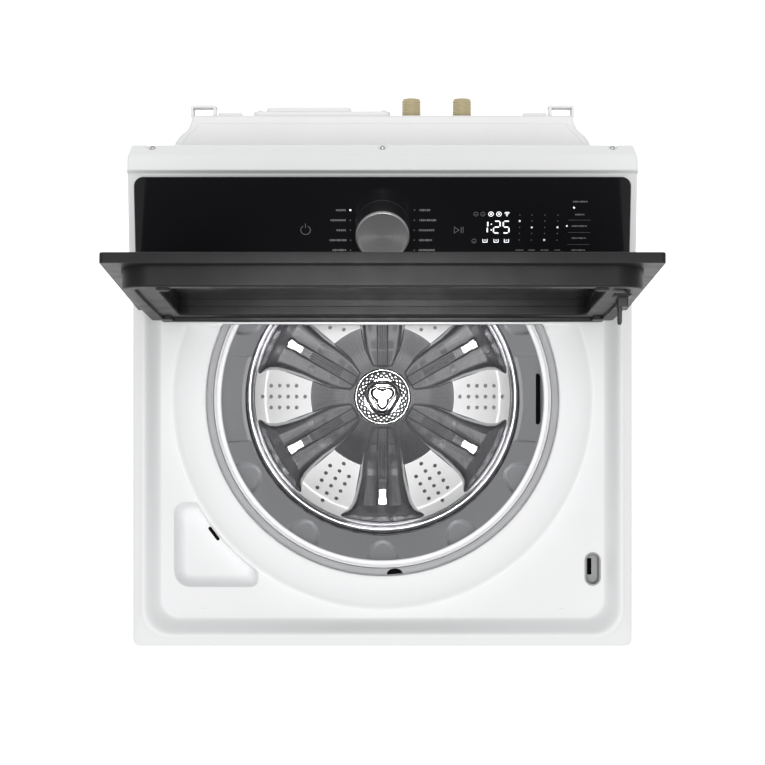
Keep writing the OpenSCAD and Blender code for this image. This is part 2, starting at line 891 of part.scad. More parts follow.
module sump_bellows() {
    bump = 5;
    waves = 6;
    place() color("black") translate([pump_x, pump_y, 0]) rotate_extrude() polygon(concat(
        [[17, 140], [17, 232], [20, 232], [20, 222]],
        [for (i = [0 : 2 * waves]) [i % 2 == 0 ? 20 : 20 + bump, 218 - i * 5]],
        [[20, 154], [20, 140]]));
}

module drain_hose() {
    place() color("gray") {
        difference() {
            along_y(pump_x, drain_z, [pump_y + 50, back_reach - sheet - 2], 17);
            along_y(pump_x, drain_z, [pump_y + 49, back_reach], 13.8);
        }
        difference() {
            union() {
                along_y(pump_x, drain_z, [back_reach - sheet - 2, back_reach + 3], drain_r + 2);
                along_y(pump_x, drain_z, [back_reach, back_reach + 3], 24);
                along_y(pump_x, drain_z, [back_reach, back_reach + 34], drain_r);
            }
            along_y(pump_x, drain_z, [back_reach - 10, back_reach + 40], 12);
        }
    }
}

module cord_gland() {
    place() color("black") difference() {
        union() {
            along_y(-290, 160, [back_reach - 6, back_reach + 2], 8.9);
            along_y(-290, 160, [back_reach, back_reach + 12], 13);
        }
        along_y(-290, 160, [back_reach - 10, back_reach + 20], 4.5);
    }
}

base_frame();
foot_front_left();
foot_front_right();
foot_rear_left();
foot_rear_right();
foot_nuts();
cabinet_shell();
back_panel();
rear_housing();
hose_hooks();
service_cover();
top_cover();
console_housing();
console_glass();
control_knob();
knob_encoder();
display_board();
main_control_box();
lid_outer_frame();
lid_inner_frame();
lid_glass();
lid_hinge_pins();
hinge_brackets();
latch_striker();
lid_bumpers();
lock_bezel();
lid_lock_body();
lid_lock_bolt();
bleach_cup();
detergent_drawer();
drawer_housing();
inlet_valve_cold();
inlet_valve_hot();
outer_tub();
tub_cover();
basket_wall();
basket_base();
balance_ring();
pulsator_plate();
pulsator_wings();
pulsator_petals();
hub_cap();
shaft_fasteners();
drive_shaft();
spin_tube();
bearing_housing();
bearings();
shaft_seal();
clutch_coupler();
stator();
rotor();
rod_sockets();
suspension_rods();
suspension_springs();
damper_cups();
drain_pump();
pump_impeller();
sump_bellows();
drain_hose();
cord_gland();
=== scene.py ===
"""Looks of the top-loading washing machine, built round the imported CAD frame.

Most shapes are drawn in millimetres with the tub's axis at x = 0, y = 0, the way the
machine is drawn, and place() moves them into the frame. The lid is drawn closed about
its hinge and swung open."""

import json
import math
import random

import bpy
import bmesh
from mathutils import Matrix, Vector
from mathutils.geometry import delaunay_2d_cdt


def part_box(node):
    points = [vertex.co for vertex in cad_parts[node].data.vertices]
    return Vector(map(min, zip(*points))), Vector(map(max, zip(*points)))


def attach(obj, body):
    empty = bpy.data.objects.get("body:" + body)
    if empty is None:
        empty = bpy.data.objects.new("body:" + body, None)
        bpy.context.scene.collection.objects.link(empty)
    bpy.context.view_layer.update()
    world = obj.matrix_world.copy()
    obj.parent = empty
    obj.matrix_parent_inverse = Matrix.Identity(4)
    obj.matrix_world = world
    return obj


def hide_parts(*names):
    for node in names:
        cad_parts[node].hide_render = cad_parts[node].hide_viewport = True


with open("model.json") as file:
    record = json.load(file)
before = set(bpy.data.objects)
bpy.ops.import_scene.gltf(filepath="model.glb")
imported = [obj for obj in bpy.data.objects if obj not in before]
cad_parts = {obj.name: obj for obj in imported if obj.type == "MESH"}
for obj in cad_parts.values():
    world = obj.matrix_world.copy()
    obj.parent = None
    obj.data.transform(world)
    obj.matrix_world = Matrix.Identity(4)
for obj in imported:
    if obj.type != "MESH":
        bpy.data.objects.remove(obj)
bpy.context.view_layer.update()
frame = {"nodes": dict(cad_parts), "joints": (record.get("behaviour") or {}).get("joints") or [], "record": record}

MM = 0.001
TAU = 2 * math.pi
random.seed(7)

joints = {j["name"]: j for j in frame["joints"]}
ring_low, ring_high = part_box("balance_ring")
TUB_Y = (ring_low.y + ring_high.y) / 2
HINGE = Vector(joints["lid_hinge"]["pos_m"])
LID_OPEN = math.radians(joints["lid_hinge"]["range_deg"][1])
KNOB_AXIS = Vector(joints["knob_turn"]["axis"])
KNOB_AT = Vector(joints["knob_turn"]["pos_m"])
FACE_SLOPE = math.atan2(-KNOB_AXIS.y, KNOB_AXIS.z)


# ---- Places

def tub_place():
    return Matrix.Translation((0, TUB_Y, 0)) @ Matrix.Scale(MM, 4)


def lid_place():
    turn = Matrix.Rotation(-LID_OPEN, 4, "X")
    return Matrix.Translation(HINGE) @ turn @ Matrix.Scale(MM, 4)


def face_place():
    """x across the console, y up its slope from the knob, z out of the glass."""
    turn = Matrix.Rotation(FACE_SLOPE, 4, "X")
    return Matrix.Translation(KNOB_AT) @ turn @ Matrix.Scale(MM, 4)


# ---- Outlines

def rounded(points, radius, steps=4, closed=False):
    """A polyline with its corners turned into arcs. A point may carry its own radius."""
    out = []
    n = len(points)
    for i, p in enumerate(points):
        r = p[2] if len(p) > 2 else radius
        if (not closed and i in (0, n - 1)) or r <= 0:
            out.append((p[0], p[1]))
            continue
        a = Vector(points[i - 1][:2]) - Vector(p[:2])
        b = Vector(points[(i + 1) % n][:2]) - Vector(p[:2])
        la, lb = a.length, b.length
        a.normalize()
        b.normalize()
        angle = a.angle(b)
        if angle > math.pi - 0.02:
            out.extend([(p[0], p[1])] * (steps + 1))
            continue
        cut = min(r / math.tan(angle / 2), 0.49 * la, 0.49 * lb)
        r = cut * math.tan(angle / 2)
        start = Vector(p[:2]) + a * cut
        centre = Vector(p[:2]) + (a + b).normalized() * (r / math.sin(angle / 2))
        swing = math.pi - angle
        u = start - centre
        side = 1 if a.x * b.y - a.y * b.x < 0 else -1
        for k in range(steps + 1):
            t = side * swing * k / steps
            c, s = math.cos(t), math.sin(t)
            out.append((centre.x + u.x * c - u.y * s, centre.y + u.x * s + u.y * c))
    return out


def rect_ring(x0, x1, y0, y1, r, steps=8):
    ring = []
    for cx, cy, start in ((x1 - r, y1 - r, 0), (x0 + r, y1 - r, 90),
                          (x0 + r, y0 + r, 180), (x1 - r, y0 + r, 270)):
        for k in range(steps + 1):
            a = math.radians(start + 90 * k / steps)
            ring.append((cx + r * math.cos(a), cy + r * math.sin(a)))
    return ring


def d_ring(r, cut, fillet=8, steps=150):
    """A circle cut off by the line y = cut, with its two corners rounded."""
    inner = r - fillet
    cy = cut - fillet
    cx = math.sqrt(inner * inner - cy * cy)
    a0 = math.atan2(cy, cx)
    ring = []
    for k in range(steps + 1):
        a = math.pi - a0 + (math.pi + 2 * a0) * k / steps
        ring.append((r * math.cos(a), r * math.sin(a)))
    for k in range(1, 9):
        a = a0 + (math.pi / 2 - a0) * k / 8
        ring.append((cx + fillet * math.cos(a), cy + fillet * math.sin(a)))
    for k in range(1, 12):
        ring.append((cx - 2 * cx * k / 12, cut))
    for k in range(8):
        a = math.pi / 2 + (math.pi / 2 - a0) * k / 8
        ring.append((-cx + fillet * math.cos(a), cy + fillet * math.sin(a)))
    return ring


def circle(r, steps=96, at=(0, 0)):
    return [(at[0] + r * math.cos(TAU * k / steps), at[1] + r * math.sin(TAU * k / steps))
            for k in range(steps)]


def at_height(ring, z):
    return [(p[0], p[1], z) for p in ring]


def area_sign(ring):
    total = 0
    for i, p in enumerate(ring):
        q = ring[(i + 1) % len(ring)]
        total += p[0] * q[1] - q[0] * p[1]
    return 1 if total > 0 else -1


# ---- Meshes

CUT_SHARP = 34

class Shape:
    """Points and faces, with a material number for each face."""

    def __init__(self):
        self.points = []
        self.faces = []
        self.slots = []
        self.slot = 0

    def add(self, points):
        first = len(self.points)
        self.points.extend(tuple(p) for p in points)
        return list(range(first, len(self.points)))

    def face(self, *corners):
        self.faces.append(tuple(corners))
        self.slots.append(self.slot)

    def join(self, a, b, closed=True):
        """Quads from ring a to ring b, which have the same number of points."""
        n = len(a)
        for i in range(n if closed else n - 1):
            j = (i + 1) % n
            self.face(a[i], a[j], b[j], b[i])

    def loft(self, rings, closed=True, ends=(False, False)):
        made = [self.add(r) for r in rings]
        for a, b in zip(made, made[1:]):
            self.join(a, b, closed)
        if ends[0]:
            self.face(*reversed(made[0]))
        if ends[1]:
            self.face(*made[-1])
        return made

    def flat(self, outer, holes=(), up=True, extra=()):
        """Fills the plane between rings already added; extra are more points inside it."""
        loops = [outer] + list(holes)
        flat_points = []
        index = []
        faces_in = []
        for number, loop in enumerate(loops):
            order = list(loop)
            if area_sign([self.points[i] for i in order]) != (1 if number == 0 else -1):
                order.reverse()
            start = len(index)
            index.extend(order)
            flat_points.extend(Vector(self.points[i][:2]) for i in order)
            faces_in.append(list(range(start, start + len(order))))
        z = self.points[outer[0]][2]
        index.extend(self.add([(p[0], p[1], z) for p in extra]))
        flat_points.extend(Vector(p) for p in extra)
        out, _, faces, origin, _, _ = delaunay_2d_cdt(flat_points, [], faces_in, 2, 1e-5)
        where = [index[source[0]] if source else self.add([(co.x, co.y, z)])[0]
                 for co, source in zip(out, origin)]
        for f in faces:
            corners = [where[i] for i in f]
            turned = area_sign([self.points[i] for i in corners]) > 0
            self.face(*(corners if turned == up else reversed(corners)))

    def revolve(self, profile, steps=96, centre=(0, 0), closed_profile=False):
        """Turns (radius, z) points round the upright through centre."""
        rings = []
        for r, z in profile:
            rings.append([(centre[0] + r * math.cos(TAU * k / steps),
                           centre[1] + r * math.sin(TAU * k / steps), z) for k in range(steps)])
        made = [self.add(r) for r in rings]
        pairs = list(zip(made, made[1:]))
        if closed_profile:
            pairs.append((made[-1], made[0]))
        for a, b in pairs:
            self.join(a, b)
        return made

    def box(self, x, y, z):
        c = self.add([(x[i], y[j], z[k]) for k in (0, 1) for j in (0, 1) for i in (0, 1)])
        for f in ((0, 2, 3, 1), (4, 5, 7, 6), (0, 1, 5, 4), (2, 6, 7, 3), (0, 4, 6, 2), (1, 3, 7, 5)):
            self.face(*(c[i] for i in f))


def build(name, shape, materials, body, place, replaces=(), thickness=0.0, sharp=35,
          fix_normals=False):
    """One finished piece: mesh, materials, edges, and its place in the frame."""
    mesh = bpy.data.meshes.new(name)
    mesh.from_pydata([tuple(p) for p in shape.points], [], shape.faces)
    for m in materials:
        mesh.materials.append(m)
    for polygon, number in zip(mesh.polygons, shape.slots):
        polygon.material_index = number
    bm = bmesh.new()
    bm.from_mesh(mesh)
    bmesh.ops.remove_doubles(bm, verts=bm.verts, dist=1e-4)
    if fix_normals:
        bmesh.ops.recalc_face_normals(bm, faces=bm.faces)
    bmesh.ops.transform(bm, matrix=place, verts=bm.verts)
    bm.to_mesh(mesh)
    bm.free()
    piece = bpy.data.objects.new(name, mesh)
    bpy.context.scene.collection.objects.link(piece)
    finish_mesh(piece, thickness, sharp)
    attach(piece, body)
    if replaces:
        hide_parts(*replaces)
    return piece


def finish_mesh(piece, thickness, sharp):
    """Adds a sheet's thickness, in mm, and splits the shading at edges sharper than an angle."""
    if thickness:
        solid = piece.modifiers.new("thickness", "SOLIDIFY")
        solid.thickness = abs(thickness) * MM
        solid.offset = -1 if thickness > 0 else 1
        solid.use_even_offset = True
    apply_modifiers(piece)
    mesh = piece.data
    mesh.polygons.foreach_set("use_smooth", [True] * len(mesh.polygons))
    mesh.set_sharp_from_angle(angle=math.radians(sharp))
    weight = piece.modifiers.new("normals", "WEIGHTED_NORMAL")
    weight.keep_sharp = True
    apply_modifiers(piece)


def apply_modifiers(piece):
    if not piece.modifiers:
        return
    bpy.context.view_layer.update()
    done = bpy.data.meshes.new_from_object(piece.evaluated_get(bpy.context.evaluated_depsgraph_get()))
    old = piece.data
    piece.modifiers.clear()
    piece.data = done
    done.name = piece.name
    bpy.data.meshes.remove(old)


# ---- Materials

class Nodes:
    """A material's node tree, with short calls for the nodes used here."""

    def __init__(self, name):
        self.material = bpy.data.materials.new(name)
        self.material.use_nodes = True
        self.tree = self.material.node_tree
        self.shader = self.tree.nodes["Principled BSDF"]
        self.coords = self.tree.nodes.new("ShaderNodeTexCoord").outputs["Object"]

    def set(self, **values):
        for key, value in values.items():
            self.shader.inputs[key.replace("_", " ")].default_value = value

    def link(self, a, b):
        self.tree.links.new(a, b)

    def scaled(self, x, y, z):
        node = self.tree.nodes.new("ShaderNodeMapping")
        node.inputs["Scale"].default_value = (x, y, z)
        self.link(self.coords, node.inputs["Vector"])
        return node.outputs["Vector"]

    def noise(self, scale, detail=3.0, rough=0.5, vector=None):
        node = self.tree.nodes.new("ShaderNodeTexNoise")
        node.inputs["Scale"].default_value = scale
        node.inputs["Detail"].default_value = detail
        node.inputs["Roughness"].default_value = rough
        self.link(vector or self.coords, node.inputs["Vector"])
        return node.outputs["Fac"]

    def ramp(self, value, low, high, out_low, out_high):
        node = self.tree.nodes.new("ShaderNodeMapRange")
        node.inputs["From Min"].default_value = low
        node.inputs["From Max"].default_value = high
        node.inputs["To Min"].default_value = out_low
        node.inputs["To Max"].default_value = out_high
        self.link(value, node.inputs["Value"])
        return node.outputs["Result"]

    def math(self, kind, a, b=None):
        node = self.tree.nodes.new("ShaderNodeMath")
        node.operation = kind
        for socket, value in zip(node.inputs, (a, b)):
            if value is None:
                continue
            if isinstance(value, (int, float)):
                socket.default_value = value
            else:
                self.link(value, socket)
        return node.outputs[0]

    def blend(self, factor, a, b):
        node = self.tree.nodes.new("ShaderNodeMix")
        node.data_type = "RGBA"
        self.link(factor, node.inputs["Factor"])
        for socket, value in ((node.inputs[6], a), (node.inputs[7], b)):
            if isinstance(value, tuple):
                socket.default_value = value if len(value) == 4 else (*value, 1)
            else:
                self.link(value, socket)
        return node.outputs[2]

    def bump(self, height, distance):
        node = self.tree.nodes.new("ShaderNodeBump")
        node.inputs["Strength"].default_value = 1.0
        node.inputs["Distance"].default_value = distance
        self.link(height, node.inputs["Height"])
        return node.outputs["Normal"]


def finish_surface(nodes, base, vary, rough, rough_vary, scale, fine, fine_height):
    """Colour mottling, uneven gloss and fine relief, shared by most materials."""
    cloud = nodes.noise(scale, 4)
    dark = tuple(c * (1 - vary) for c in base)
    nodes.link(nodes.blend(nodes.ramp(cloud, 0.3, 0.7, 0, 1), dark, base),
               nodes.shader.inputs["Base Color"])
    smudge = nodes.noise(scale * 3.1, 5, 0.6)
    nodes.link(nodes.ramp(smudge, 0.3, 0.7, rough - rough_vary, rough + rough_vary),
               nodes.shader.inputs["Roughness"])
    if fine:
        grain = nodes.noise(fine, 2)
        nodes.link(nodes.bump(grain, fine_height), nodes.shader.inputs["Normal"])
    return nodes.material


def make_enamel(name, base=(0.83, 0.835, 0.84)):
    n = Nodes(name)
    n.set(Coat_Weight=0.35, Coat_Roughness=0.12, Specular_IOR_Level=0.45)
    return finish_surface(n, base, 0.015, 0.3, 0.035, 6, 420, 0.00004)


def make_plastic(name, base, rough=0.45, grain=900, height=0.00003, vary=0.04, coat=0.0, sheen=0.45):
    n = Nodes(name)
    n.set(Specular_IOR_Level=sheen, Coat_Weight=coat, Coat_Roughness=0.15)
    return finish_surface(n, base, vary, rough, 0.05, 9, grain, height)


def make_glass_black(name, base=(0.012, 0.012, 0.014), rough=0.08):
    n = Nodes(name)
    n.set(Specular_IOR_Level=0.15)
    return finish_surface(n, base, 0.1, rough, 0.03, 5, 0, 0)


def make_metal(name, base, rough=0.25, vary=0.06, grain=(1500, 18, 18), height=0.00002,
               metallic=1.0):
    """Rolled or drawn metal, brushed along the axis whose grain number is smallest."""
    n = Nodes(name)
    n.set(Metallic=metallic)
    cloud = n.noise(14, 4)
    dark = tuple(c * (1 - vary) for c in base)
    n.link(n.blend(n.ramp(cloud, 0.3, 0.7, 0, 1), dark, base), n.shader.inputs["Base Color"])
    lines = n.noise(1.0, 3, 0.6, n.scaled(*grain))
    n.link(n.ramp(lines, 0.25, 0.75, rough - 0.07, rough + 0.07), n.shader.inputs["Roughness"])
    n.link(n.bump(lines, height), n.shader.inputs["Normal"])
    return n.material


def make_spun(name, base, rough=0.28, pitch=1400):
    """Turned metal: fine circles round the piece's own Z axis."""
    n = Nodes(name)
    n.set(Metallic=0.6, Anisotropic=0.75)
    parts = n.tree.nodes.new("ShaderNodeSeparateXYZ")
    n.link(n.coords, parts.inputs[0])
    x, y = parts.outputs[0], parts.outputs[1]
    radius = n.math("SQRT", n.math("ADD", n.math("MULTIPLY", x, x), n.math("MULTIPLY", y, y)))
    joined = n.tree.nodes.new("ShaderNodeCombineXYZ")
    n.link(n.math("MULTIPLY", radius, pitch), joined.inputs[0])
    rings = n.noise(2.0, 4, 0.7, joined.outputs[0])
    dark = tuple(c * 0.8 for c in base)
    n.link(n.blend(n.ramp(rings, 0.3, 0.7, 0, 1), dark, base), n.shader.inputs["Base Color"])
    n.link(n.ramp(rings, 0.3, 0.7, rough - 0.06, rough + 0.06), n.shader.inputs["Roughness"])
    n.link(n.bump(rings, 0.00003), n.shader.inputs["Normal"])
    tangent = n.tree.nodes.new("ShaderNodeTangent")
    tangent.direction_type = "RADIAL"
    tangent.axis = "Z"
    n.link(tangent.outputs[0], n.shader.inputs["Tangent"])
    return n.material


def make_glow(name, colour, strength):
    n = Nodes(name)
    n.set(Emission_Color=(*colour, 1), Emission_Strength=strength)
    return finish_surface(n, colour, 0.05, 0.4, 0.05, 60, 0, 0)


WHITE = make_enamel("white_enamel")
COVER = make_plastic("white_cover", (0.86, 0.865, 0.87), 0.36, 1300, 0.00002, 0.01, 0.08, 0.25)
REAR = make_plastic("white_rear", (0.85, 0.85, 0.85), 0.48, 1100, 0.00005, 0.02)
GLASS = make_glass_black("black_glass")
SMOKED = make_glass_black("smoked_glass", (0.02, 0.02, 0.022), 0.12)
LID = make_plastic("lid_charcoal", (0.014, 0.014, 0.0145), 0.44, 1500, 0.00004, 0.08, 0.0, 0.2)
DARK = make_plastic("dark_plastic", (0.018, 0.018, 0.02), 0.4, 1400, 0.00004, 0.1)
BEZEL = make_plastic("bezel_grey", (0.4, 0.4, 0.405), 0.42, 1400, 0.00003, 0.04)
RING = make_plastic("ring_grey", (0.4, 0.405, 0.42), 0.38, 1200, 0.00003, 0.05, 0.1)
RIM = make_plastic("rim_light", (0.74, 0.74, 0.75), 0.36, 1200, 0.00003, 0.03, 0.1)
TUB = make_plastic("tub_grey", (0.5, 0.5, 0.5), 0.5, 800, 0.00006, 0.05)
TAN = make_plastic("inlet_tan", (0.5, 0.43, 0.26), 0.4, 900, 0.00005, 0.08)
# Near-black for slots, the level port and the ring slit: painted shade standing in for the depth of openings that
# are drawn shallow or flat.
SHADE_BLACK = make_plastic("painted_shade_black", (0.004, 0.004, 0.004), 0.7, 500, 0.00005, 0.1, 0.0, 0.05)
RUBBER = make_plastic("rubber_black", (0.014, 0.014, 0.014), 0.65, 700, 0.00008, 0.15)
STEEL = make_metal("basket_steel", (0.72, 0.72, 0.73), 0.22)
# The steel screens are near-white and almost non-metal: the bright reflection of the overhead light off polished
# steel is painted into their colour.
PETAL_WHITE_SHEEN = make_metal("petal_steel_painted_sheen", (0.97, 0.97, 0.97), 0.45, 0.03, metallic=0.1)
WING = make_metal("wing_steel", (0.62, 0.62, 0.635), 0.2, 0.1, metallic=0.92)
CHROME = make_metal("hub_chrome", (0.24, 0.24, 0.245), 0.13, 0.05, (90, 90, 90), 0.00001)
ZINC = make_metal("zinc_steel", (0.5, 0.5, 0.49), 0.36, 0.12, (60, 60, 60), 0.00004)
GALVANISED = make_metal("galvanised", (0.6, 0.61, 0.62), 0.38, 0.12, (30, 30, 30), 0.00003)
ALUMINIUM = make_metal("cast_aluminium", (0.52, 0.52, 0.53), 0.42, 0.1, (120, 120, 120), 0.00006)
COPPER = make_metal("copper_winding", (0.55, 0.26, 0.12), 0.35, 0.15, (40, 900, 900), 0.00008)
CIRCUIT = make_plastic("circuit_green", (0.02, 0.11, 0.045), 0.35, 260, 0.00008, 0.25)
FRAME = make_plastic("frame_paint", (0.08, 0.08, 0.082), 0.5, 300, 0.00006, 0.1)
SPUN = make_spun("knob_spun", (0.44, 0.44, 0.445))
# The printed legends get a faint emission: a painted glow on print that is no lamp.
LEGEND_GLOW = make_glow("legend_grey_glow", (0.2, 0.2, 0.205), 0.04)
GLOW = make_glow("display_white", (0.95, 0.97, 1.0), 1.1)


# ---- Driving sizes, in millimetres, with the tub's axis at x = 0, y = 0

cabinet_low, cabinet_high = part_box("cabinet_shell")
cover_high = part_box("top_cover")[1]
HALF_W = cabinet_high.x / MM
FRONT = (cabinet_low.y - TUB_Y) / MM
BACK = (cabinet_high.y - TUB_Y) / MM
CABINET_TOP = cabinet_high.z / MM
RIM_Z = cover_high.z / MM
DECK_Z = 982
RECESS = 316
RECESS_BACK = 138
MOUTH_R = 245
MOUTH_BACK = 104
LOCK_X = (279, 301)
LOCK_Y = (-257, -211)
SLOT_X = (283.6, 289.6)
SLOT_Y = (-243, -220)
POCKET_X = (-287, -172)
POCKET_Y = (-258, -142)
POCKET_R = 293


def clamp(v, low=0.0, high=1.0):
    return max(low, min(high, v))


def smooth(v, low, high):
    t = clamp((v - low) / (high - low))
    return t * t * (3 - 2 * t)


def pipeline(v, points):
    """Straight-line interpolation through (v, value) points."""
    for (a, fa), (b, fb) in zip(points, points[1:]):
        if v <= b:
            return fa + (fb - fa) * clamp((v - a) / (b - a))
    return points[-1][1]


def plan_ring(half, front, back, r, z, rear_r=None):
    """A rounded rectangle on the machine's plan, with its own radius at the rear."""
    ring = []
    rear = r if rear_r is None else rear_r
    for cx, cy, start, radius in ((half - rear, back - rear, 0, rear), (rear - half, back - rear, 90, rear),
                                  (r - half, front + r, 180, r), (half - r, front + r, 270, r)):
        for k in range(13):
            a = math.radians(start + 90 * k / 12)
            ring.append((cx + radius * math.cos(a), cy + radius * math.sin(a), z))
    return ring


def capsule_ring(x, y, shrink, z, steps=12):
    """A slot with round ends that runs along y."""
    r = (x[1] - x[0]) / 2 - shrink
    mid = (x[0] + x[1]) / 2
    full = (x[1] - x[0]) / 2
    ring = []
    for cy, start in ((y[1] - full, 0), (y[0] + full, 180)):
        for k in range(steps + 1):
            a = math.radians(start + 180 * k / steps)
            ring.append((mid + r * math.cos(a), cy + r * math.sin(a), z))
    return ring


def pocket_ring(shrink, z):
    """The bleach pocket: a corner of the deck, bounded by a circle round the tub."""
    x0, x1 = POCKET_X[0] + shrink, POCKET_X[1] - shrink
    y0, y1 = POCKET_Y[0] + shrink, POCKET_Y[1] - shrink
    r = POCKET_R + 0.25 * shrink
    a = math.atan2(-math.sqrt(r * r - x1 * x1), x1)
    b = math.atan2(y1, -math.sqrt(r * r - y1 * y1))
    points = [(x0, y0, 22 - shrink), (x1, y0, 17 - shrink)]
    steps = 14
    for k in range(steps + 1):
        t = a + (b - a) * k / steps
        corner = {0: 16.0, steps: 14.0}.get(k, 0)
        points.append((r * math.cos(t), r * math.sin(t), max(0.3, corner - shrink) if corner else 0))
    points.append((x0, y1, 17 - shrink))
    return at_height(rounded(points, 0, 6, closed=True), z)


# ---- Top cover

def make_top_cover():
    s = Shape()
    steps = [(HALF_W - inset, FRONT + inset, r, z) for inset, r, z in
             ((4, 8, CABINET_TOP + 0.4), (0.6, 10, CABINET_TOP + 0.4), (0, 10, CABINET_TOP + 1.2),
              (0, 10, 995), (0.7, 11, 998.2), (2.6, 14, 1000.3), (5, 22, 1001.3))]
    steps += [(332.4, -328.4, 36, 1003.5), (331.4, -327.4, 37, 1004.6), (330.4, -326.4, 38, 1005.5),
              (329, -325, 38, RIM_Z)]
    for k in range(13):
        share = k / 12
        half = 327 - 22.5 * share
        steps.append((half, 4 - half, 37 - 11 * share, RIM_Z - (RIM_Z - DECK_Z) * smooth(share, 0, 1)))
    rings = []
    for half, front, r, z in steps:
        outside = half > 328
        back = BACK if outside else RECESS_BACK + (half - RECESS) * 0.6
        rings.append(plan_ring(half, front, back, r, z, 10 if outside else 6))
    made = s.loft(rings)
    ridge = [(292.5, 108.5, 16, DECK_Z), (289.5, 106.6, 14, 981.7), (287, 105.2, 12, 980.9),
             (284.2, 104.4, 10, 979.6), (281, MOUTH_BACK, 9, 978)]
    cone = [(r, MOUTH_BACK, 8, 965.9 + (978 - 965.9) * (r - 246.6) / (281 - 246.6))
            for r in (272, 262, 254, 249)]
    lip = [(r, MOUTH_BACK, 8, z) for r, z in
           ((246.6, 965.6), (245.4, 964.4), (MOUTH_R, 962.5), (MOUTH_R, 957), (MOUTH_R + 3, 957))]
    loops = []
    for r, cut, fillet, z in ridge + cone + lip:
        ring = []
        for x, y in d_ring(r, cut, fillet):
            rear = 1 - smooth(cut - y, 0.5, 10)
            ring.append((x, y, max(z, 979) * rear + z * (1 - rear)))
        loops.append(ring)
    funnel = s.loft(loops)
    pocket = s.add(pocket_ring(-1.5, DECK_Z))
    lock = s.add(capsule_ring(LOCK_X, LOCK_Y, -0.2, DECK_Z))
    s.flat(made[-1], [funnel[0], pocket, lock])
    low = s.add(capsule_ring(LOCK_X, LOCK_Y, -0.2, DECK_Z - 3))
    s.join(lock, low)
    edge = [s.add(pocket_ring(a, z)) for a, z in ((-0.4, DECK_Z - 0.5), (0, DECK_Z - 1.6), (0, DECK_Z - 3))]
    for a, b in zip([pocket] + edge, edge):
        s.join(a, b)
    for side in (-245, 245):
        marks = [[(side + (y + 289), -289 + (x - side), z) for x, y, z in
                  capsule_ring((side - 0.9, side + 0.9), (-292.5, -285.5), shrink, z)]
                 for shrink, z in ((0, DECK_Z), (0.1, DECK_Z + 0.5), (0.45, DECK_Z + 0.7))]
        s.loft(marks, ends=(False, True))
    return build("top_cover_moulding", s, [COVER], "cabinet", tub_place(),
                 replaces=("top_cover",), sharp=50)


def make_bleach_cup():
    s = Shape()
    levels = [(-0.3, 980.8), (0.6, 979.4), (2.6, 974), (5.4, 968), (8.5, 964.2), (12, 962.5), (15, 962)]
    rings = [s.add(pocket_ring(a, z)) for a, z in levels]
    for a, b in zip(rings, rings[1:]):
        s.join(a, b)
    turn = math.radians(127)
    centre = (-234, -186.5)
    slot = []
    for x, y, _ in capsule_ring((-2.45, 2.45), (-11.5, 11.5), 0, 0, 6):
        a = turn - math.pi / 2
        slot.append((centre[0] + x * math.cos(a) - y * math.sin(a),
                     centre[1] + x * math.sin(a) + y * math.cos(a)))
    hole = s.add(at_height(slot, 962))
    s.flat(rings[-1], [hole])
    # The drain slot is drawn only 4 mm deep; its near-black walls and floor are painted shade standing in for a
    # deep opening.
    s.slot = 1
    low = s.add(at_height(slot, 958))
    s.join(hole, low)
    s.face(*low)
    return build("bleach_pocket", s, [COVER, SHADE_BLACK], "cabinet", tub_place(),
                 replaces=("bleach_cup",), sharp=45)


def make_lock_bezel():
    s = Shape()
    rings = [capsule_ring(LOCK_X, LOCK_Y, a, z) for a, z in
             ((0.0, 979), (0.0, DECK_Z), (0.35, DECK_Z + 0.35), (1.6, DECK_Z + 0.35), (2.1, DECK_Z - 0.2),
              (2.5, 972), (3.2, 966.6), (4.0, 966))]
    made = s.loft(rings)
    hole = s.add([(x, y, 966) for x, y in rect_ring(SLOT_X[0], SLOT_X[1], SLOT_Y[0], SLOT_Y[1], 1.2, 3)])
    s.flat(made[-1], [hole])
    # The latch slot is drawn 8 mm deep; its near-black walls and floor are painted shade standing in for the
    # opening's depth.
    s.slot = 1
    low = s.add([(x, y, 958) for x, y in rect_ring(SLOT_X[0], SLOT_X[1], SLOT_Y[0], SLOT_Y[1], 1.2, 3)])
    s.join(hole, low)
    s.face(*low)
    return build("lid_lock_bezel", s, [BEZEL, SHADE_BLACK], "cabinet", tub_place(),
                 replaces=("lock_bezel",), sharp=40)


# ---- Console

FACE_TOP = 68.0
FACE_LOW = -98.5
GLASS_HALF = 328
GLASS_LOW_HALF = GLASS_HALF + 5
CONSOLE_TAPER = 6.5
SCREW_X = (-304, 0, 304)


def console_profile():
    """Side view of the console as (y, z), starting at the foot of its front."""
    tilt = math.tan(FACE_SLOPE)
    face = 1118 - (294 - 141) * tilt
    points = [(141, 1000), (141, face, 2.5), (294, 1118, 2), (299, 1120.8, 2), (302.5, 1129.6, 2.5),
              (323, 1130, 5), (336.5, 1122.5, 4), (337, 1000)]
    return rounded(points, 3, 5)


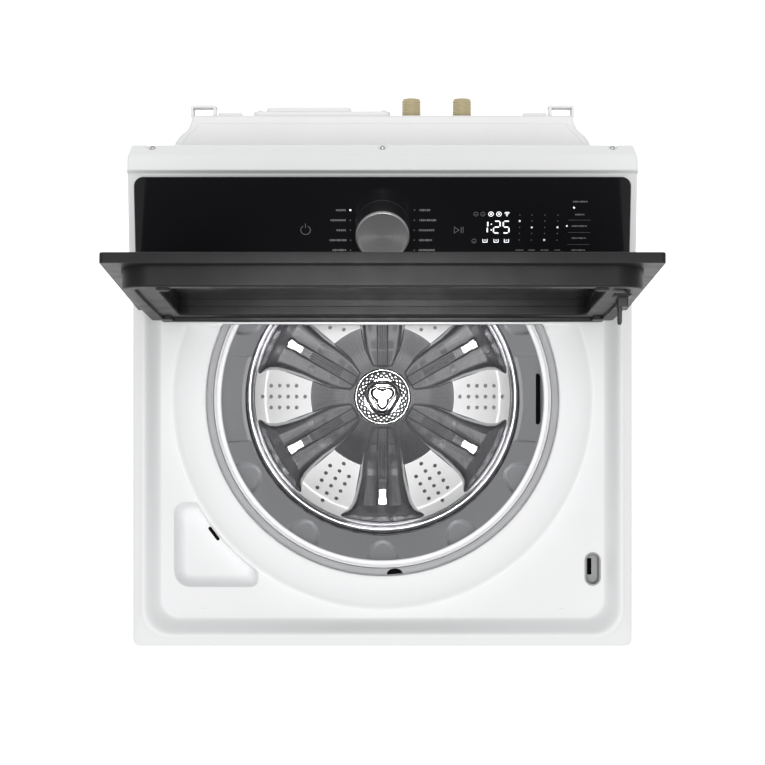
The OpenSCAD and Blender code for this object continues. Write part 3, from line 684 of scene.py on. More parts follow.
def make_console_housing():
    profile = console_profile()
    middle_y, middle_z = 240, 1040
    s = Shape()
    rings = []
    for x, inset in ((-HALF_W, 2.6), (-HALF_W + 0.7, 1.0), (-HALF_W + 2.2, 0.25), (-HALF_W + 4, 0),
                     (HALF_W - 4, 0), (HALF_W - 2.2, 0.25), (HALF_W - 0.7, 1.0), (HALF_W, 2.6)):
        ring = []
        for y, z in profile:
            dy, dz = middle_y - y, middle_z - z
            long = math.hypot(dy, dz)
            taper = CONSOLE_TAPER * smooth(z, 1030, 1125) + 5 * smooth(y, 318, 337) * smooth(z, 1030, 1080)
            narrow = 1 - taper / HALF_W
            ring.append((x * narrow, y + dy / long * inset, max(1000, z + dz / long * inset)))
        rings.append(ring)
    s.loft(rings, ends=(True, True))
    piece = build("console_moulding", s, [COVER], "cabinet", tub_place(),
                  replaces=("console_housing",), sharp=40, fix_normals=True)
    recess = Shape()
    recess.loft([[(x, y, z) for x, y in glass_outline(-0.7)] for z in (-3.05, 12)], ends=(True, True))
    dimples = Shape()
    for x in SCREW_X:
        rings = [at_height(circle(7.5, 24, (x, 337)), z) for z in (1112, 1150)]
        dimples.loft(rings, ends=(True, True))
    cut_out(piece, recess, face_place())
    cut_out(piece, dimples, tub_place())
    finish_mesh(piece, 0, CUT_SHARP)
    return piece


def cut_out(piece, shape, place):
    """Takes a closed shape out of a piece."""
    mesh = bpy.data.meshes.new("cutter")
    mesh.from_pydata([tuple(place @ Vector(p)) for p in shape.points], [], shape.faces)
    bm = bmesh.new()
    bm.from_mesh(mesh)
    bmesh.ops.recalc_face_normals(bm, faces=bm.faces)
    bm.to_mesh(mesh)
    bm.free()
    cutter = bpy.data.objects.new("cutter", mesh)
    bpy.context.scene.collection.objects.link(cutter)
    cut = piece.modifiers.new("cut", "BOOLEAN")
    cut.operation = "DIFFERENCE"
    cut.solver = "EXACT"
    cut.object = cutter
    apply_modifiers(piece)
    bpy.data.objects.remove(cutter)
    bpy.data.meshes.remove(mesh)


def glass_outline(shrink):
    top, low = FACE_TOP - shrink, FACE_LOW + shrink
    a, b = GLASS_HALF - shrink, GLASS_LOW_HALF - shrink
    return rounded([(a, top, 13), (-a, top, 13), (-b, low, 9), (b, low, 9)], 13, 8, closed=True)


def make_console_glass():
    s = Shape()
    rings = [[(x, y, z) for x, y in glass_outline(inset)] for inset, z in
             ((0.3, -3), (0, -2.6), (0, -0.5), (0.15, -0.15), (0.5, 0))]
    s.loft(rings, ends=(True, True))
    return build("console_panel", s, [GLASS], "cabinet", face_place(),
                 replaces=("console_glass",), sharp=30)


def make_console_screws():
    s = Shape()
    for x in SCREW_X:
        screw_head(s, (x, 333.4, 1112), 3.2, "z", 2.2)
    return build("console_screws", s, [ZINC], "cabinet", tub_place(), sharp=35,
                 fix_normals=True)


def bar(s, u, v, half_u, half_v, z=0.12, r=0.5):
    """A thin raised print with round corners, on the glass."""
    r = min(r, half_u, half_v) * 0.98
    ring = rect_ring(u - half_u, u + half_u, v - half_v, v + half_v, r, 3)
    s.loft([at_height(ring, -0.05), at_height(ring, z)], ends=(False, True))


def dot(s, u, v, r, z=0.14):
    s.loft([at_height(circle(r, 20, (u, v)), -0.05), at_height(circle(r * 0.95, 20, (u, v)), z)],
           ends=(False, True))


def hoop(s, u, v, r, width, start=0.0, sweep=360.0, z=0.13, steps=28):
    """A printed ring, or part of one."""
    closed = sweep >= 360
    count = steps if closed else steps + 1
    ring = []
    wide, tight = r + width / 2, r - width / 2
    for radius, height in ((wide, -0.05), (wide, z), (tight, z), (tight, -0.05)):
        ring.append([(u + radius * math.cos(math.radians(start + sweep * k / steps)),
                      v + radius * math.sin(math.radians(start + sweep * k / steps)), height)
                     for k in range(count)])
    s.loft(ring, closed=closed)


def label(s, u, v, width, letters, height=1.6):
    """A printed legend reduced to a short row of plain blocks."""
    step = width / letters
    for k in range(letters):
        part = 0.36 + 0.1 * ((k * 7 + letters) % 3)
        bar(s, u - width / 2 + step * (k + 0.5), v, step * part * 0.9,
            height * (0.75 + 0.12 * ((k * 5) % 3)), r=0.3)


SEGMENTS = {"1": "bc", "2": "abged", "5": "afgcd"}


def digit(s, u, v, w, h, lit):
    t = 0.85
    places = {"a": (0, h, w - 1, t), "g": (0, 0, w - 1, t), "d": (0, -h, w - 1, t),
              "b": (w, h / 2, t, h / 2 - 0.9), "c": (w, -h / 2, t, h / 2 - 0.9),
              "f": (-w, h / 2, t, h / 2 - 0.9), "e": (-w, -h / 2, t, h / 2 - 0.9)}
    for name in lit:
        du, dv, hu, hv = places[name]
        lean = dv * 0.06
        bar(s, u + du + lean, v + dv, hu, hv, r=0.8)


COURSES = ((21.0, 13.5, 15), (6.4, 21, 23), (-8.2, 13, 21), (-22.8, 23, 18), (-37.4, 19, 22))


def start_key(s, u, v):
    """An open triangle and two bars, the usual start and pause mark."""
    outer = [(u - 3, v + 5), (u - 3, v - 5), (u + 4.5, v)]
    inner = [(u - 2.3, v + 3.7), (u - 2.3, v - 3.7), (u + 3.2, v)]
    rings = [at_height(outer, -0.05), at_height(outer, 0.13), at_height(inner, 0.13), at_height(inner, -0.05)]
    s.loft(rings)
    for du in (6.6, 9.2):
        bar(s, u + du, v, 0.4, 4.6)


def make_legends():
    """Grey prints with a faint painted glow: courses on both sides of the knob, icons and the button labels."""
    s = Shape()
    for v, left, right in COURSES:
        label(s, -48.5 - left / 2, v, left, max(4, round(left / 2.6)))
        label(s, 48.5 + right / 2, v, right, max(4, round(right / 2.6)))
        dot(s, 42.5, v, 0.9)
        if v != COURSES[0][0]:
            dot(s, -42.8, v, 0.9)
    hoop(s, -102.8, -8, 6.4, 0.9, 120, 300)
    bar(s, -102.8, -1.8, 0.45, 3.4)
    start_key(s, 98.5, -8)
    rows = ((124.4, 15.3), (133.7, 15.3), (122.5, -24.1))
    for u, v in rows:
        hoop(s, u, v, 2.9, 0.7)
        bar(s, u, v - 0.4, 1.1, 0.4)
    columns = (183.0, 199.3, 216.5, 233.6)
    for u in columns:
        for v in (13.9, 5.2, -4.0, -13.0, -22.6):
            dot(s, u, v, 0.85)
    for u, width in zip(columns, (11, 9, 11, 8)):
        label(s, u + 1, -37.3, width, 5, 1.0)
    for v, width in ((33.3, 20), (14.6, 13), (-2.1, 21), (-19.7, 20), (-37.3, 19)):
        label(s, 262.5, v, width, 7 if width > 15 else 4, 1.2)
    for v in (6.6, -11.5, -29.2):
        bar(s, 262.5, v, 15, 0.18)
    return build("panel_legends", s, [LEGEND_GLOW], "cabinet", face_place())


def make_lit_display():
    """The lit parts of the display: time, icons, level lamps and the chosen course."""
    s = Shape()
    digit(s, 137.6, -3.6, 2.6, 8.6, SEGMENTS["1"])
    for v in (0.6, -7.8):
        dot(s, 145.2, v, 0.95)
    digit(s, 152.6, -3.6, 4.1, 8.6, SEGMENTS["2"])
    digit(s, 165.0, -3.6, 4.1, 8.6, SEGMENTS["5"])
    for u in (144.4, 155.0):
        hoop(s, u, 15.3, 3.1, 0.9)
        dot(s, u, 15.3, 1.2)
    for radius in (1.6, 3.4, 5.2):
        hoop(s, 165.7, 12.8, radius, 0.85, 50, 80)
    dot(s, 165.7, 12.8, 0.8)
    for u in (137.2, 152.0, 166.0):
        bar(s, u, -25.8, 3.2, 0.5)
        bar(s, u - 2.9, -23.4, 0.45, 2.3)
        bar(s, u + 2.9, -23.4, 0.45, 2.3)
        bar(s, u, -22.6, 1.2, 0.5)
    for u, v in ((183.0, 5.2), (199.3, -4.0), (216.5, -22.6), (233.6, -4.0)):
        dot(s, u, v, 1.3)
    dot(s, -42.8, COURSES[0][0], 1.35)
    dot(s, 254.5, 24.6, 1.3)
    dot(s, 246.0, -2.1, 1.1)
    return build("panel_display", s, [GLOW], "cabinet", face_place())


def make_knob():
    """Turned about its own Z axis, because its metal's circles follow that axis."""
    s = Shape()
    top = 40.0
    s.slot = 1
    side = [(30, 0.6), (36.2, 0.6), (36.5, 0.9), (36.5, 2.2), (36.0, 2.6), (35.9, 30), (35.7, 36.6)]
    s.revolve(side, 128)
    s.slot = 0
    face = [(35.7, 36.6), (35.75, 37.6), (35.2, 38.8), (34.4, top - 0.4), (33.6, top), (32.9, top),
            (32.5, top - 0.25), (31.9, top - 0.35), (24, top - 0.9), (12, top - 1.2), (1.0, top - 1.3)]
    top_rings = s.revolve(face, 128)
    s.face(*top_rings[-1])
    s.slot = 1
    for k in range(120):
        a = TAU * k / 120
        c, n = math.cos(a), math.sin(a)
        ridge = []
        for r, t in ((35.8, -0.35), (36.35, -0.14), (36.35, 0.14), (35.8, 0.35)):
            for z in (3.2, 35.5):
                ridge.append((r * c - t * n, r * n + t * c, z))
        p = s.add(ridge)
        for i in (0, 2, 4):
            s.face(p[i], p[i + 2], p[i + 3], p[i + 1])
        s.face(p[1], p[3], p[5], p[7])
        s.face(p[6], p[4], p[2], p[0])
    piece = build("dial", s, [SPUN, DARK], "knob", Matrix.Scale(MM, 4))
    piece.matrix_world = Matrix.Translation(KNOB_AT) @ Matrix.Rotation(FACE_SLOPE, 4, "X")
    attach(piece, "knob")
    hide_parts("control_knob")
    return piece


# ---- Lid. Drawn closed about its hinge: x across, y = -distance from the hinge.

LID_HALF = 332
LID_FAR = 450
LID_BACK = 5
LID_LOW = -4
LID_HIGH = 9
LID_LIP = 6
WINDOW_HALF = 272
WINDOW_NEAR = 52
WINDOW_FAR = 395
INNER_HALF = 312
INNER_NEAR = 10
INNER_FAR = 428
INNER_CORNER = 36
SHALLOW = 16
DEEP = 25
NOTCH_X = 300
NOTCH_Y = -15


def lid_outline(inset, z, radius=5.0):
    """The lid's outline with a notch for the hinge bracket at each rear corner."""
    half, far, back = LID_HALF - inset, LID_FAR - inset, LID_BACK - inset
    notch_x, notch_y = NOTCH_X - inset, NOTCH_Y - inset
    r = max(radius - inset, 0.3)
    points = [(half, notch_y, 2), (notch_x, notch_y, 1), (notch_x, back, 2), (-notch_x, back, 2),
              (-notch_x, notch_y, 1), (-half, notch_y, 2), (-half, -far, r), (half, -far, r)]
    return at_height(rounded(points, r, 6, closed=True), z)


def make_lid_frame():
    s = Shape()
    levels = [(0.8, LID_LOW), (0.25, LID_LOW + 0.3), (0, LID_LOW + 1), (0, LID_HIGH - 1.2),
              (0.35, LID_HIGH - 0.35), (1.2, LID_HIGH), (LID_LIP - 0.8, LID_HIGH),
              (LID_LIP - 0.2, LID_HIGH - 0.4), (LID_LIP, LID_HIGH - 1), (LID_LIP, LID_HIGH - 4)]
    made = s.loft([lid_outline(a, z) for a, z in levels])
    windows = []
    for inset, z in ((0, LID_HIGH - 4), (0, LID_LOW + 0.8), (-0.8, LID_LOW)):
        ring = rect_ring(-WINDOW_HALF + inset, WINDOW_HALF - inset, -WINDOW_FAR + inset,
                         -WINDOW_NEAR - inset, 14, 6)
        windows.append(s.add(at_height(ring, z)))
    s.flat(made[-1], [windows[0]])
    s.flat(made[0], [windows[2]], up=False)
    s.join(windows[1], windows[0])
    s.join(windows[2], windows[1])
    return build("lid_frame", s, [LID], "lid", lid_place(),
                 replaces=("lid_outer_frame",), sharp=40, fix_normals=True)


def make_lid_glass():
    s = Shape()
    gap = LID_LIP + 0.3
    levels = [(gap + 0.4, LID_HIGH - 3.9), (gap, LID_HIGH - 3.5), (gap, LID_HIGH - 0.8),
              (gap + 0.3, LID_HIGH - 0.3), (gap + 0.9, LID_HIGH - 0.15)]
    s.loft([lid_outline(a, z) for a, z in levels], ends=(True, True))
    return build("lid_panel", s, [SMOKED], "lid", lid_place(),
                 replaces=("lid_glass",), sharp=30)


def inner_depth(distance):
    """How far the inner frame stands out at a distance from the hinge."""
    return pipeline(distance, [(INNER_NEAR, SHALLOW), (INNER_FAR - 82, DEEP), (INNER_FAR, DEEP)])


def inner_outline(inset, sink, radius):
    """The inner frame's outline, with notches at the hinge; sink lowers it from its face."""
    half, near, far = INNER_HALF - inset, INNER_NEAR + inset, INNER_FAR - inset
    notch_x, notch_y = NOTCH_X - inset, -34 - inset
    r = max(radius - inset, 1)
    points = [(half, notch_y, 5), (notch_x, notch_y, 2), (notch_x, -near, 3), (-notch_x, -near, 3),
              (-notch_x, notch_y, 2), (-half, notch_y, 5), (-half, -INNER_FAR + 82, 0), (-half, -far, r),
              (half, -far, r), (half, -INNER_FAR + 82, 0)]
    ring = rounded(points, r, 8, closed=True)
    return [(x, y, LID_LOW - inner_depth(-y) + sink) for x, y in ring]


def make_lid_inner_frame():
    """A deep frame whose face steps down to a second, lower ledge round the window."""
    s = Shape()
    outer = [[(x, y, LID_LOW) for x, y, _ in inner_outline(0, 0, INNER_CORNER)]]
    outer += [inner_outline(a, sink, INNER_CORNER) for a, sink in
              ((0, 3.2), (0.4, 1.6), (1.4, 0.5), (3.0, 0), (15, 0), (16.2, 0.3), (16.8, 1.2), (17.2, 4.4),
               (17.8, 5.0), (19, 5.2))]
    made = s.loft(outer)
    rings = []
    for inset, sink in ((-3.0, 5.2), (-1.2, 5.7), (-0.3, 7.0), (0, 9.0)):
        ring = rect_ring(-WINDOW_HALF + inset, WINDOW_HALF - inset, -WINDOW_FAR + inset,
                         -WINDOW_NEAR - inset, 16, 8)
        rings.append(s.add([(x, y, LID_LOW - inner_depth(-y) + sink) for x, y in ring]))
    low = rect_ring(-WINDOW_HALF, WINDOW_HALF, -WINDOW_FAR, -WINDOW_NEAR, 16, 8)
    rings.append(s.add(at_height(low, LID_LOW)))
    s.flat(made[-1], [rings[0]], up=False)
    for a, b in zip(rings, rings[1:]):
        s.join(b, a)
    for x in (-180, -60, 60, 180):
        rib(s, x, -INNER_FAR + 10)
    return build("lid_inner_moulding", s, [LID], "lid", lid_place(),
                 replaces=("lid_inner_frame",), sharp=38, fix_normals=True)


def rib(s, x, y):
    """A shallow grip mark on the inner frame's face."""
    z = LID_LOW - DEEP
    ring = rect_ring(x - 22, x + 22, y - 1.2, y + 1.2, 1.1, 4)
    s.loft([at_height(ring, z + 0.2), at_height([(x + (p - x) * 0.98, y + (q - y) * 0.7) for p, q in ring],
                                                z - 0.35)][::-1], ends=(True, False))


def make_striker():
    s = Shape()
    shoulder, tip = LID_LOW - 40, LID_LOW - 61
    base = LID_LOW - DEEP

    def section(x0, x1, y0, y1, z, r):
        return at_height(rect_ring(x0, x1, y0, y1, r, 4), z)
    post = [section(279.5, 300.5, -366, -340, base + 1, 3),
            section(279.5, 300.5, -366, -340, base - 1.6, 3),
            section(281.0, 299, -364.6, -341.4, base - 2.6, 3),
            section(283, 297, -362.2, -343.8, base - 4.4, 2.5),
            section(283, 297, -362, -344, shoulder + 1, 2.5),
            section(283.8, 296.2, -361.2, -344.8, shoulder, 2),
            section(284.4, 289.2, -360, -346, shoulder - 0.01, 1),
            section(284.4, 288.9, -359.8, -346.2, tip + 3, 1),
            section(285.2, 288.2, -357.5, -348.5, tip, 1)]
    s.loft(post, ends=(True, True))
    return build("latch_post", s, [DARK], "lid", lid_place(),
                 replaces=("latch_striker",), sharp=38, fix_normals=True)


def make_bumpers():
    s = Shape()
    top = LID_LOW - DEEP
    for x in (-260, 260):
        profile = [(9.4, top + 0.4), (9.4, top - 0.6), (8.5, top - 0.9), (8.3, top - 2.2), (7.4, top - 2.9),
                   (4, top - 3), (0.6, top - 3)]
        made = s.revolve(profile, 40, (x, -413))
        s.face(*made[-1])
    return build("lid_pads", s, [RUBBER], "lid", lid_place(),
                 replaces=("lid_bumpers",), sharp=50, fix_normals=True)


def make_hinges():
    """Cast brackets with a round eye; the stepped pins with a head are made by make_pins."""
    s = Shape()
    hinge_y = (HINGE.y - TUB_Y) / MM
    hinge_z = HINGE.z / MM
    for side in (-1, 1):
        outline = [(hinge_y - 12, DECK_Z)]
        for k in range(17):
            a = math.radians(180 - 180 * k / 16)
            outline.append((hinge_y + 8 * math.cos(a), hinge_z + 8 * math.sin(a)))
        outline.append((hinge_y + 12, DECK_Z))
        rings = []
        for x, inset in ((304, 0.8), (304.6, 0), (314.6, 0), (315.3, 0.8)):
            rings.append([(side * x, y + (hinge_y - y) * inset * 0.08, z - (z > DECK_Z) * inset * 0.5)
                          for y, z in outline])
        s.loft(rings, ends=(True, True))
    return build("lid_brackets", s, [ZINC], "cabinet", tub_place(),
                 replaces=("hinge_brackets",), sharp=40, fix_normals=True)


def make_pins():
    s = Shape()
    for side in (-1, 1):
        rings = []
        for x, r in ((281, 4.2), (281.6, 5), (316.4, 5), (316.5, 6.6), (318.4, 6.6), (319.2, 5.8)):
            rings.append([(side * x, y, z) for y, z in circle(r, 28)])
        s.loft(rings, ends=(True, True))
    return build("lid_pivots", s, [ZINC], "lid", lid_place(),
                 replaces=("lid_hinge_pins",), sharp=40, fix_normals=True)


# ---- Tub, basket and their rings

RING_OUT = 276
RING_TOP_R = 226
RING_TOP = 928
RING_LOW_R = 197
RING_LOW = 850


def make_tub_cover():
    s = Shape()
    profile = [(284, 930.2), (284, 933), (240.5, 933), (238.6, 934), (237.3, 935.2), (237.0, 936.2),
               (237.5, 937), (239, 937), (240.4, 936.6), (241.6, 936.9), (298.5, 936.9), (299.8, 935.8),
               (300, 920.5), (293.4, 920.5), (293.4, 930.2)]
    s.revolve(profile, 192, closed_profile=True)
    return build("tub_rim_cover", s, [RING], "tub", tub_place(),
                 replaces=("tub_cover",), sharp=40, fix_normals=True)


def make_level_port():
    """The dark half-round port on the tub cover, a little right of the front. It is a thin near-black half-moon
    laid on the surface: painted shade standing in for the port's opening.
    """
    s = Shape()
    middle = math.radians(-90 + 4.0)
    cx, cy = 243.6 * math.cos(middle), 243.6 * math.sin(middle)
    across = Vector((-math.sin(middle), math.cos(middle)))
    inward = Vector((-math.cos(middle), -math.sin(middle)))

    def half_moon(scale, z):
        ring = []
        for k in range(21):
            a = math.pi * k / 20
            p = across * (-11 * scale * math.cos(a)) + inward * (7.6 * scale * math.sin(a) - 1.5)
            ring.append((cx + p.x, cy + p.y, z))
        return ring
    s.loft([half_moon(1.0, 936.9), half_moon(1.0, 937.7), half_moon(0.93, 937.7), half_moon(0.9, 937.1)],
           ends=(True, True))
    return build("level_port", s, [SHADE_BLACK], "tub", tub_place(), sharp=30, fix_normals=True)


POCKETS = [a for a in range(0, 360, 30) if a not in (0, 180)]
PANEL_HALF = 60


def ring_recess(angle, t):
    """How far the balance ring's slope is set back at an angle and a share of its depth."""
    r = RING_TOP_R + (RING_LOW_R - RING_TOP_R) * t
    y = r * math.sin(angle)
    panel = (1 - smooth(abs(y), PANEL_HALF - 0.8, PANEL_HALF + 0.8)) * smooth(t, 0.05, 0.1)
    depth = 3.0 * panel * (1 - smooth(t, 0.93, 0.99))
    for degrees in POCKETS:
        off = (math.degrees(angle) - degrees + 180) % 360 - 180
        if abs(off) > 12:
            continue
        across = abs(math.radians(off)) * r
        top, apex = 0.05, 0.8
        share = clamp((t - top) / (apex - top))
        half = 22.5 * math.sqrt(max(0.0, 1 - share ** 1.6))
        inside = smooth(half - across, 0, 1.4) * smooth(t, top - 0.02, top + 0.02)
        if t > apex:
            inside = 0
        depth = max(depth, inside * (8.0 * (1 - share) + 3.0))
    return depth


def make_balance_ring():
    """Sloped ring with scooped pockets, a flat panel at each side and a pale top bead."""
    s = Shape()
    count = 720
    slope = []
    levels = [0, 0.03, 0.045, 0.06, 0.085] + [0.1 + 0.88 * k / 34 for k in range(35)] + [0.99, 1.0]
    for t in levels:
        ring = []
        z = RING_TOP + (RING_LOW - RING_TOP) * t
        for k in range(count):
            a = TAU * k / count
            r = RING_TOP_R + (RING_LOW_R - RING_TOP_R) * t + ring_recess(a, t)
            ring.append((r * math.cos(a), r * math.sin(a), z))
        slope.append(ring)

    def plain(r, z):
        return at_height(circle(r, count), z)
    s.slot = 1
    bead = [plain(r, z) for r, z in ((236.6, 929.6), (235.8, 930.3), (235.0, 930.2), (234.4, 929.4),
                                     (233.8, 929.5), (232.8, 930.4), (228.6, 930.6), (227.0, 930.2),
                                     (226.2, 929.4), (RING_TOP_R, RING_TOP))]
    s.loft(bead)
    s.slot = 0
    s.loft(slope)
    s.loft([plain(RING_LOW_R, RING_LOW), plain(RING_LOW_R + 2.5, RING_LOW), plain(RING_OUT, RING_LOW),
            plain(RING_OUT, 915), plain(268, 925), plain(237.6, 928.8), plain(236.6, 929.6)])
    return build("balance_ring_moulding", s, [RING, RIM], "basket", tub_place(),
                 replaces=("balance_ring",), sharp=32)


def make_ring_slit():
    """The dark grip slit in the balance ring's right panel, drawn as a thin near-black shape: painted shade
    standing in for the open slit.
    """
    s = Shape()
    rings = []
    for grow, r in ((0, 222.6), (0, 221.6), (0.9, 221.3), (1.4, 221.9)):
        ring = []
        for x, y in rect_ring(-36 + grow, 36 - grow, 905 + grow, 917 - grow, 5.5 - grow, 6):
            t = (RING_TOP - y) / (RING_TOP - RING_LOW)
            radius = r - (RING_TOP_R - RING_LOW_R) * (t - 0.2)
            a = x / radius
            ring.append((radius * math.cos(a), radius * math.sin(a), y))
        rings.append(ring)
    s.loft(rings, ends=(False, True))
    return build("ring_slit", s, [SHADE_BLACK], "basket", tub_place(), sharp=40, fix_normals=True)


def make_basket_wall():
    """A drum with real holes between pressed, bulging panels."""
    s = Shape()
    radius, low, high = 272, 262, 850
    columns, rows = 288, 56
    grid = []
    for j in range(rows + 1):
        z = low + (high - low) * j / rows
        edge = smooth(z, low + 26, low + 60) * (1 - smooth(z, high - 60, high - 26))
        row = []
        for k in range(columns):
            a = TAU * k / columns
            wave = 0.5 + 0.5 * math.cos(a * 24)
            r = radius - 1.6 * edge * smooth(wave, 0.25, 0.75)
            row.append((r * math.cos(a), r * math.sin(a), z))
        grid.append(s.add(row))
    for j in range(rows):
        for k in range(columns):
            n = (k + 1) % columns
            holed = 4 <= j < rows - 4 and j % 2 == 0 and k % 4 == 2
            corners = (grid[j][n], grid[j][k], grid[j + 1][k], grid[j + 1][n])
            if not holed:
                s.face(*corners)
                continue
            mid = sum((Vector(s.points[i]) for i in corners), Vector()) / 4
            u = (Vector(s.points[corners[0]]) - Vector(s.points[corners[1]])).normalized()
            ring = s.add([mid + u * along + Vector((0, 0, up)) for along, up in circle(1.7, 12)])
            for a, b, first in ((corners[0], corners[3], 11), (corners[3], corners[2], 2),
                                (corners[2], corners[1], 5), (corners[1], corners[0], 8)):
                inner = [ring[(first + 3 - m) % 12] for m in range(4)]
                s.face(*reversed([a, b, *inner]))
    return build("basket_drum", s, [STEEL], "basket", tub_place(),
                 replaces=("basket_wall",), thickness=0.6, sharp=40)


# ---- Pulsator

HUB_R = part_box("hub_cap")[1].x / MM
PLATE = [(HUB_R + 0.5, 395), (77, 386), (120, 368), (200, 342), (228, 332), (240, 324)]


def plate_z(r):
    return pipeline(r, PLATE)


def make_pulsator_plate():
    """The dark dish with a fluted cone round the hub and a rolled rim."""
    s = Shape()
    count = 360
    start = PLATE[0][0]
    radii = [start + (118 - start) * k / 16 for k in range(17)] + [122, 135, 150, 165, 180, 195, 205, 212]
    rings = []
    for r in radii:
        flute = 0.5 * smooth(r, 54, 70) * (1 - smooth(r, 104, 116))
        rings.append([(r * math.cos(TAU * k / count), r * math.sin(TAU * k / count),
                       plate_z(r) + flute * math.cos(TAU * k / count * 90)) for k in range(count)])
    s.loft(rings[::-1])

    def plain(r, z):
        return at_height(circle(r, count), z)
    s.loft([plain(r, z) for r, z in ((212, plate_z(212)), (213, 338.6), (214.5, 338.9), (216.2, 337.4),
                                     (217.4, 336.6), (219, 337.4), (221.5, 338.0), (224.5, 337.2),
                                     (226.6, 335.0), (227.4, 332.2))][::-1])
    s.loft([plain(r, z) for r, z in ((227.4, 332.2), (229, 328), (240, 321), (244.4, 312), (245, 301),
                                     (243, 300), (241, 300), (240, 310), (226, 324))][::-1])
    return build("pulsator_dish", s, [WING], "pulsator", tub_place(),
                 replaces=("pulsator_plate",), sharp=45)


WING_HALF = [(50, 17), (62, 23), (78, 30), (97, 34.5), (132, 39.0), (154, 44), (172, 49.5), (186, 56),
             (200, 67), (214, 80)]
WING_OUT = 213.0
FACET = (152, 177)


def wing_height(r, across, half):
    """Lift of a wing's surface above the dish."""
    body = pipeline(r, [(52, 5), (78, 6), (100, 10), (130, 15.5), (180, 18), (198, 15), (208, 9),
                        (WING_OUT, 1)])
    share = clamp(abs(across) / half)
    crown = (1 - share ** 7) * (0.93 + 0.07 * (1 - share * share))
    dish = 1.6 * math.exp(-((abs(across) - 17) / 9) ** 2) * smooth(r, 90, 110) * (1 - smooth(r, 176, 196))
    height = body * crown - dish
    rib = 1 - smooth(abs(across), 7.2, 9.0)
    level = max(0.0, plate_z(FACET[0]) - plate_z(r)) if r > FACET[0] else 0.0
    run = 1 - smooth(r, FACET[1], FACET[1] + 4)
    height += rib * run * (3.0 + level)
    for line in (-4.3, 0.0, 4.3):
        groove = 1 - smooth(abs(across - line), 0.5, 1.25)
        height -= 1.5 * groove * smooth(r, 76, 80) * (1 - smooth(r, 134, 139))
    return height


def make_wings():
    s = Shape()
    along = [52 + (WING_OUT - 52) * k / 120 for k in range(121)]
    inner = [round(-0.92 + 1.84 * k / 66, 4) for k in range(67)]
    across = [-1, -0.985, -0.95] + inner + [0.95, 0.985, 1]
    for wing in range(6):
        turn = math.radians(30 + 60 * wing)
        c, n = math.cos(turn), math.sin(turn)
        grid = []
        for r in along:
            half = pipeline(r, WING_HALF)
            row = []
            for share in across:
                v = half * share
                u = math.sqrt(max(r * r - v * v * smooth(r, 170, WING_OUT), 1))
                reach = math.hypot(u, v)
                z = plate_z(reach) - 1.0 + max(0.0, wing_height(r, v, half)) + 1.0 * (1 - abs(share) ** 20)
                row.append((u * c - v * n, u * n + v * c, z))
            grid.append(s.add(row))
        for a, b in zip(grid, grid[1:]):
            for k in range(len(across) - 1):
                s.face(a[k], b[k], b[k + 1], a[k + 1])
    return build("pulsator_blades", s, [WING], "pulsator", tub_place(),
                 replaces=("pulsator_wings",), sharp=60)


def petal_holes():
    holes = [(128 + 14.2 * k, 0) for k in range(6)]
    for v in (-18, 18):
        holes += [(142.2 + 14.2 * k, v) for k in range(4)]
    return holes


def petal_z(x, y):
    r = math.hypot(x, y)
    return plate_z(r) + 1.3 + 1.7 * smooth(r, 193, 196)


def make_petals():
    """Bright perforated sheets between the wings, with a raised outer band; their brightness is a painted
    reflection held in a near-white colour.
    """
    s = Shape()
    edge = []
    for k in range(13):
        v = -25 + 50 * k / 12
        edge.append((math.sqrt(119 ** 2 - v * v), v))
    side = [(150, 37), (175, 46), (195, 55)]
    edge += side
    for k in range(17):
        a = math.radians(17.5 - 35 * k / 16)
        edge.append((212 * math.cos(a), 212 * math.sin(a)))
    edge += [(u, -v) for u, v in reversed(side)]
    for petal in range(6):
        turn = math.radians(60 * petal)
        c, n = math.cos(turn), math.sin(turn)
        outer = [(u, v, 0) for u, v in edge]
        loops = [[(u, v, 0) for u, v in circle(3.4, 16, at)] for at in petal_holes()]
        extra = []
        for r in (124, 136, 149.5, 163.5, 177.5, 190, 192.5, 194.5, 196.5, 204):
            for degrees in range(-16, 17, 2):
                a = math.radians(degrees)
                p = (r * math.cos(a), r * math.sin(a))
                wide = pipeline(p[0], [(119, 23), (150, 35), (175, 44), (195, 53), (212, 60)])
                far = all(math.hypot(p[0] - h[0], p[1] - h[1]) > 5 for h in petal_holes())
                if abs(p[1]) < wide and far:
                    extra.append(p)
        first = len(s.points)
        ids = s.add(outer)
        s.flat(ids, [s.add(h) for h in loops], extra=extra)
        for i in range(first, len(s.points)):
            u, v, _ = s.points[i]
            s.points[i] = (u * c - v * n, u * n + v * c, petal_z(u, v))
    return build("pulsator_screens", s, [PETAL_WHITE_SHEEN], "pulsator", tub_place(),
                 replaces=("pulsator_petals",), thickness=1.1, sharp=30)


def hub_z(r, a):
    """Height of the hub cap: thin rim, textured ring, three-cornered dome with a flat centre."""
    lobe = math.cos(3 * (a + math.pi / 2))
    z = 396.0
    z += 1.9 * math.exp(-((r - 45.2) / 0.8) ** 2)
    z += 0.28 * (44 - max(r, 30))
    lumps = 0.5 * math.sin(a * 24) * math.sin(r * 0.9)
    z += lumps * smooth(r, 31, 33) * (1 - smooth(r, 39, 41))
    dome = 26 + 2.2 * lobe
    z += 7.0 * (1 - smooth(r, dome - 4, dome + 3))
    inner = 16.5 + 4.4 * lobe
    z += 1.1 * math.exp(-((r - inner - 1) / 1.5) ** 2)
    z -= 3.4 * (1 - smooth(r, inner - 4, inner))
    return z


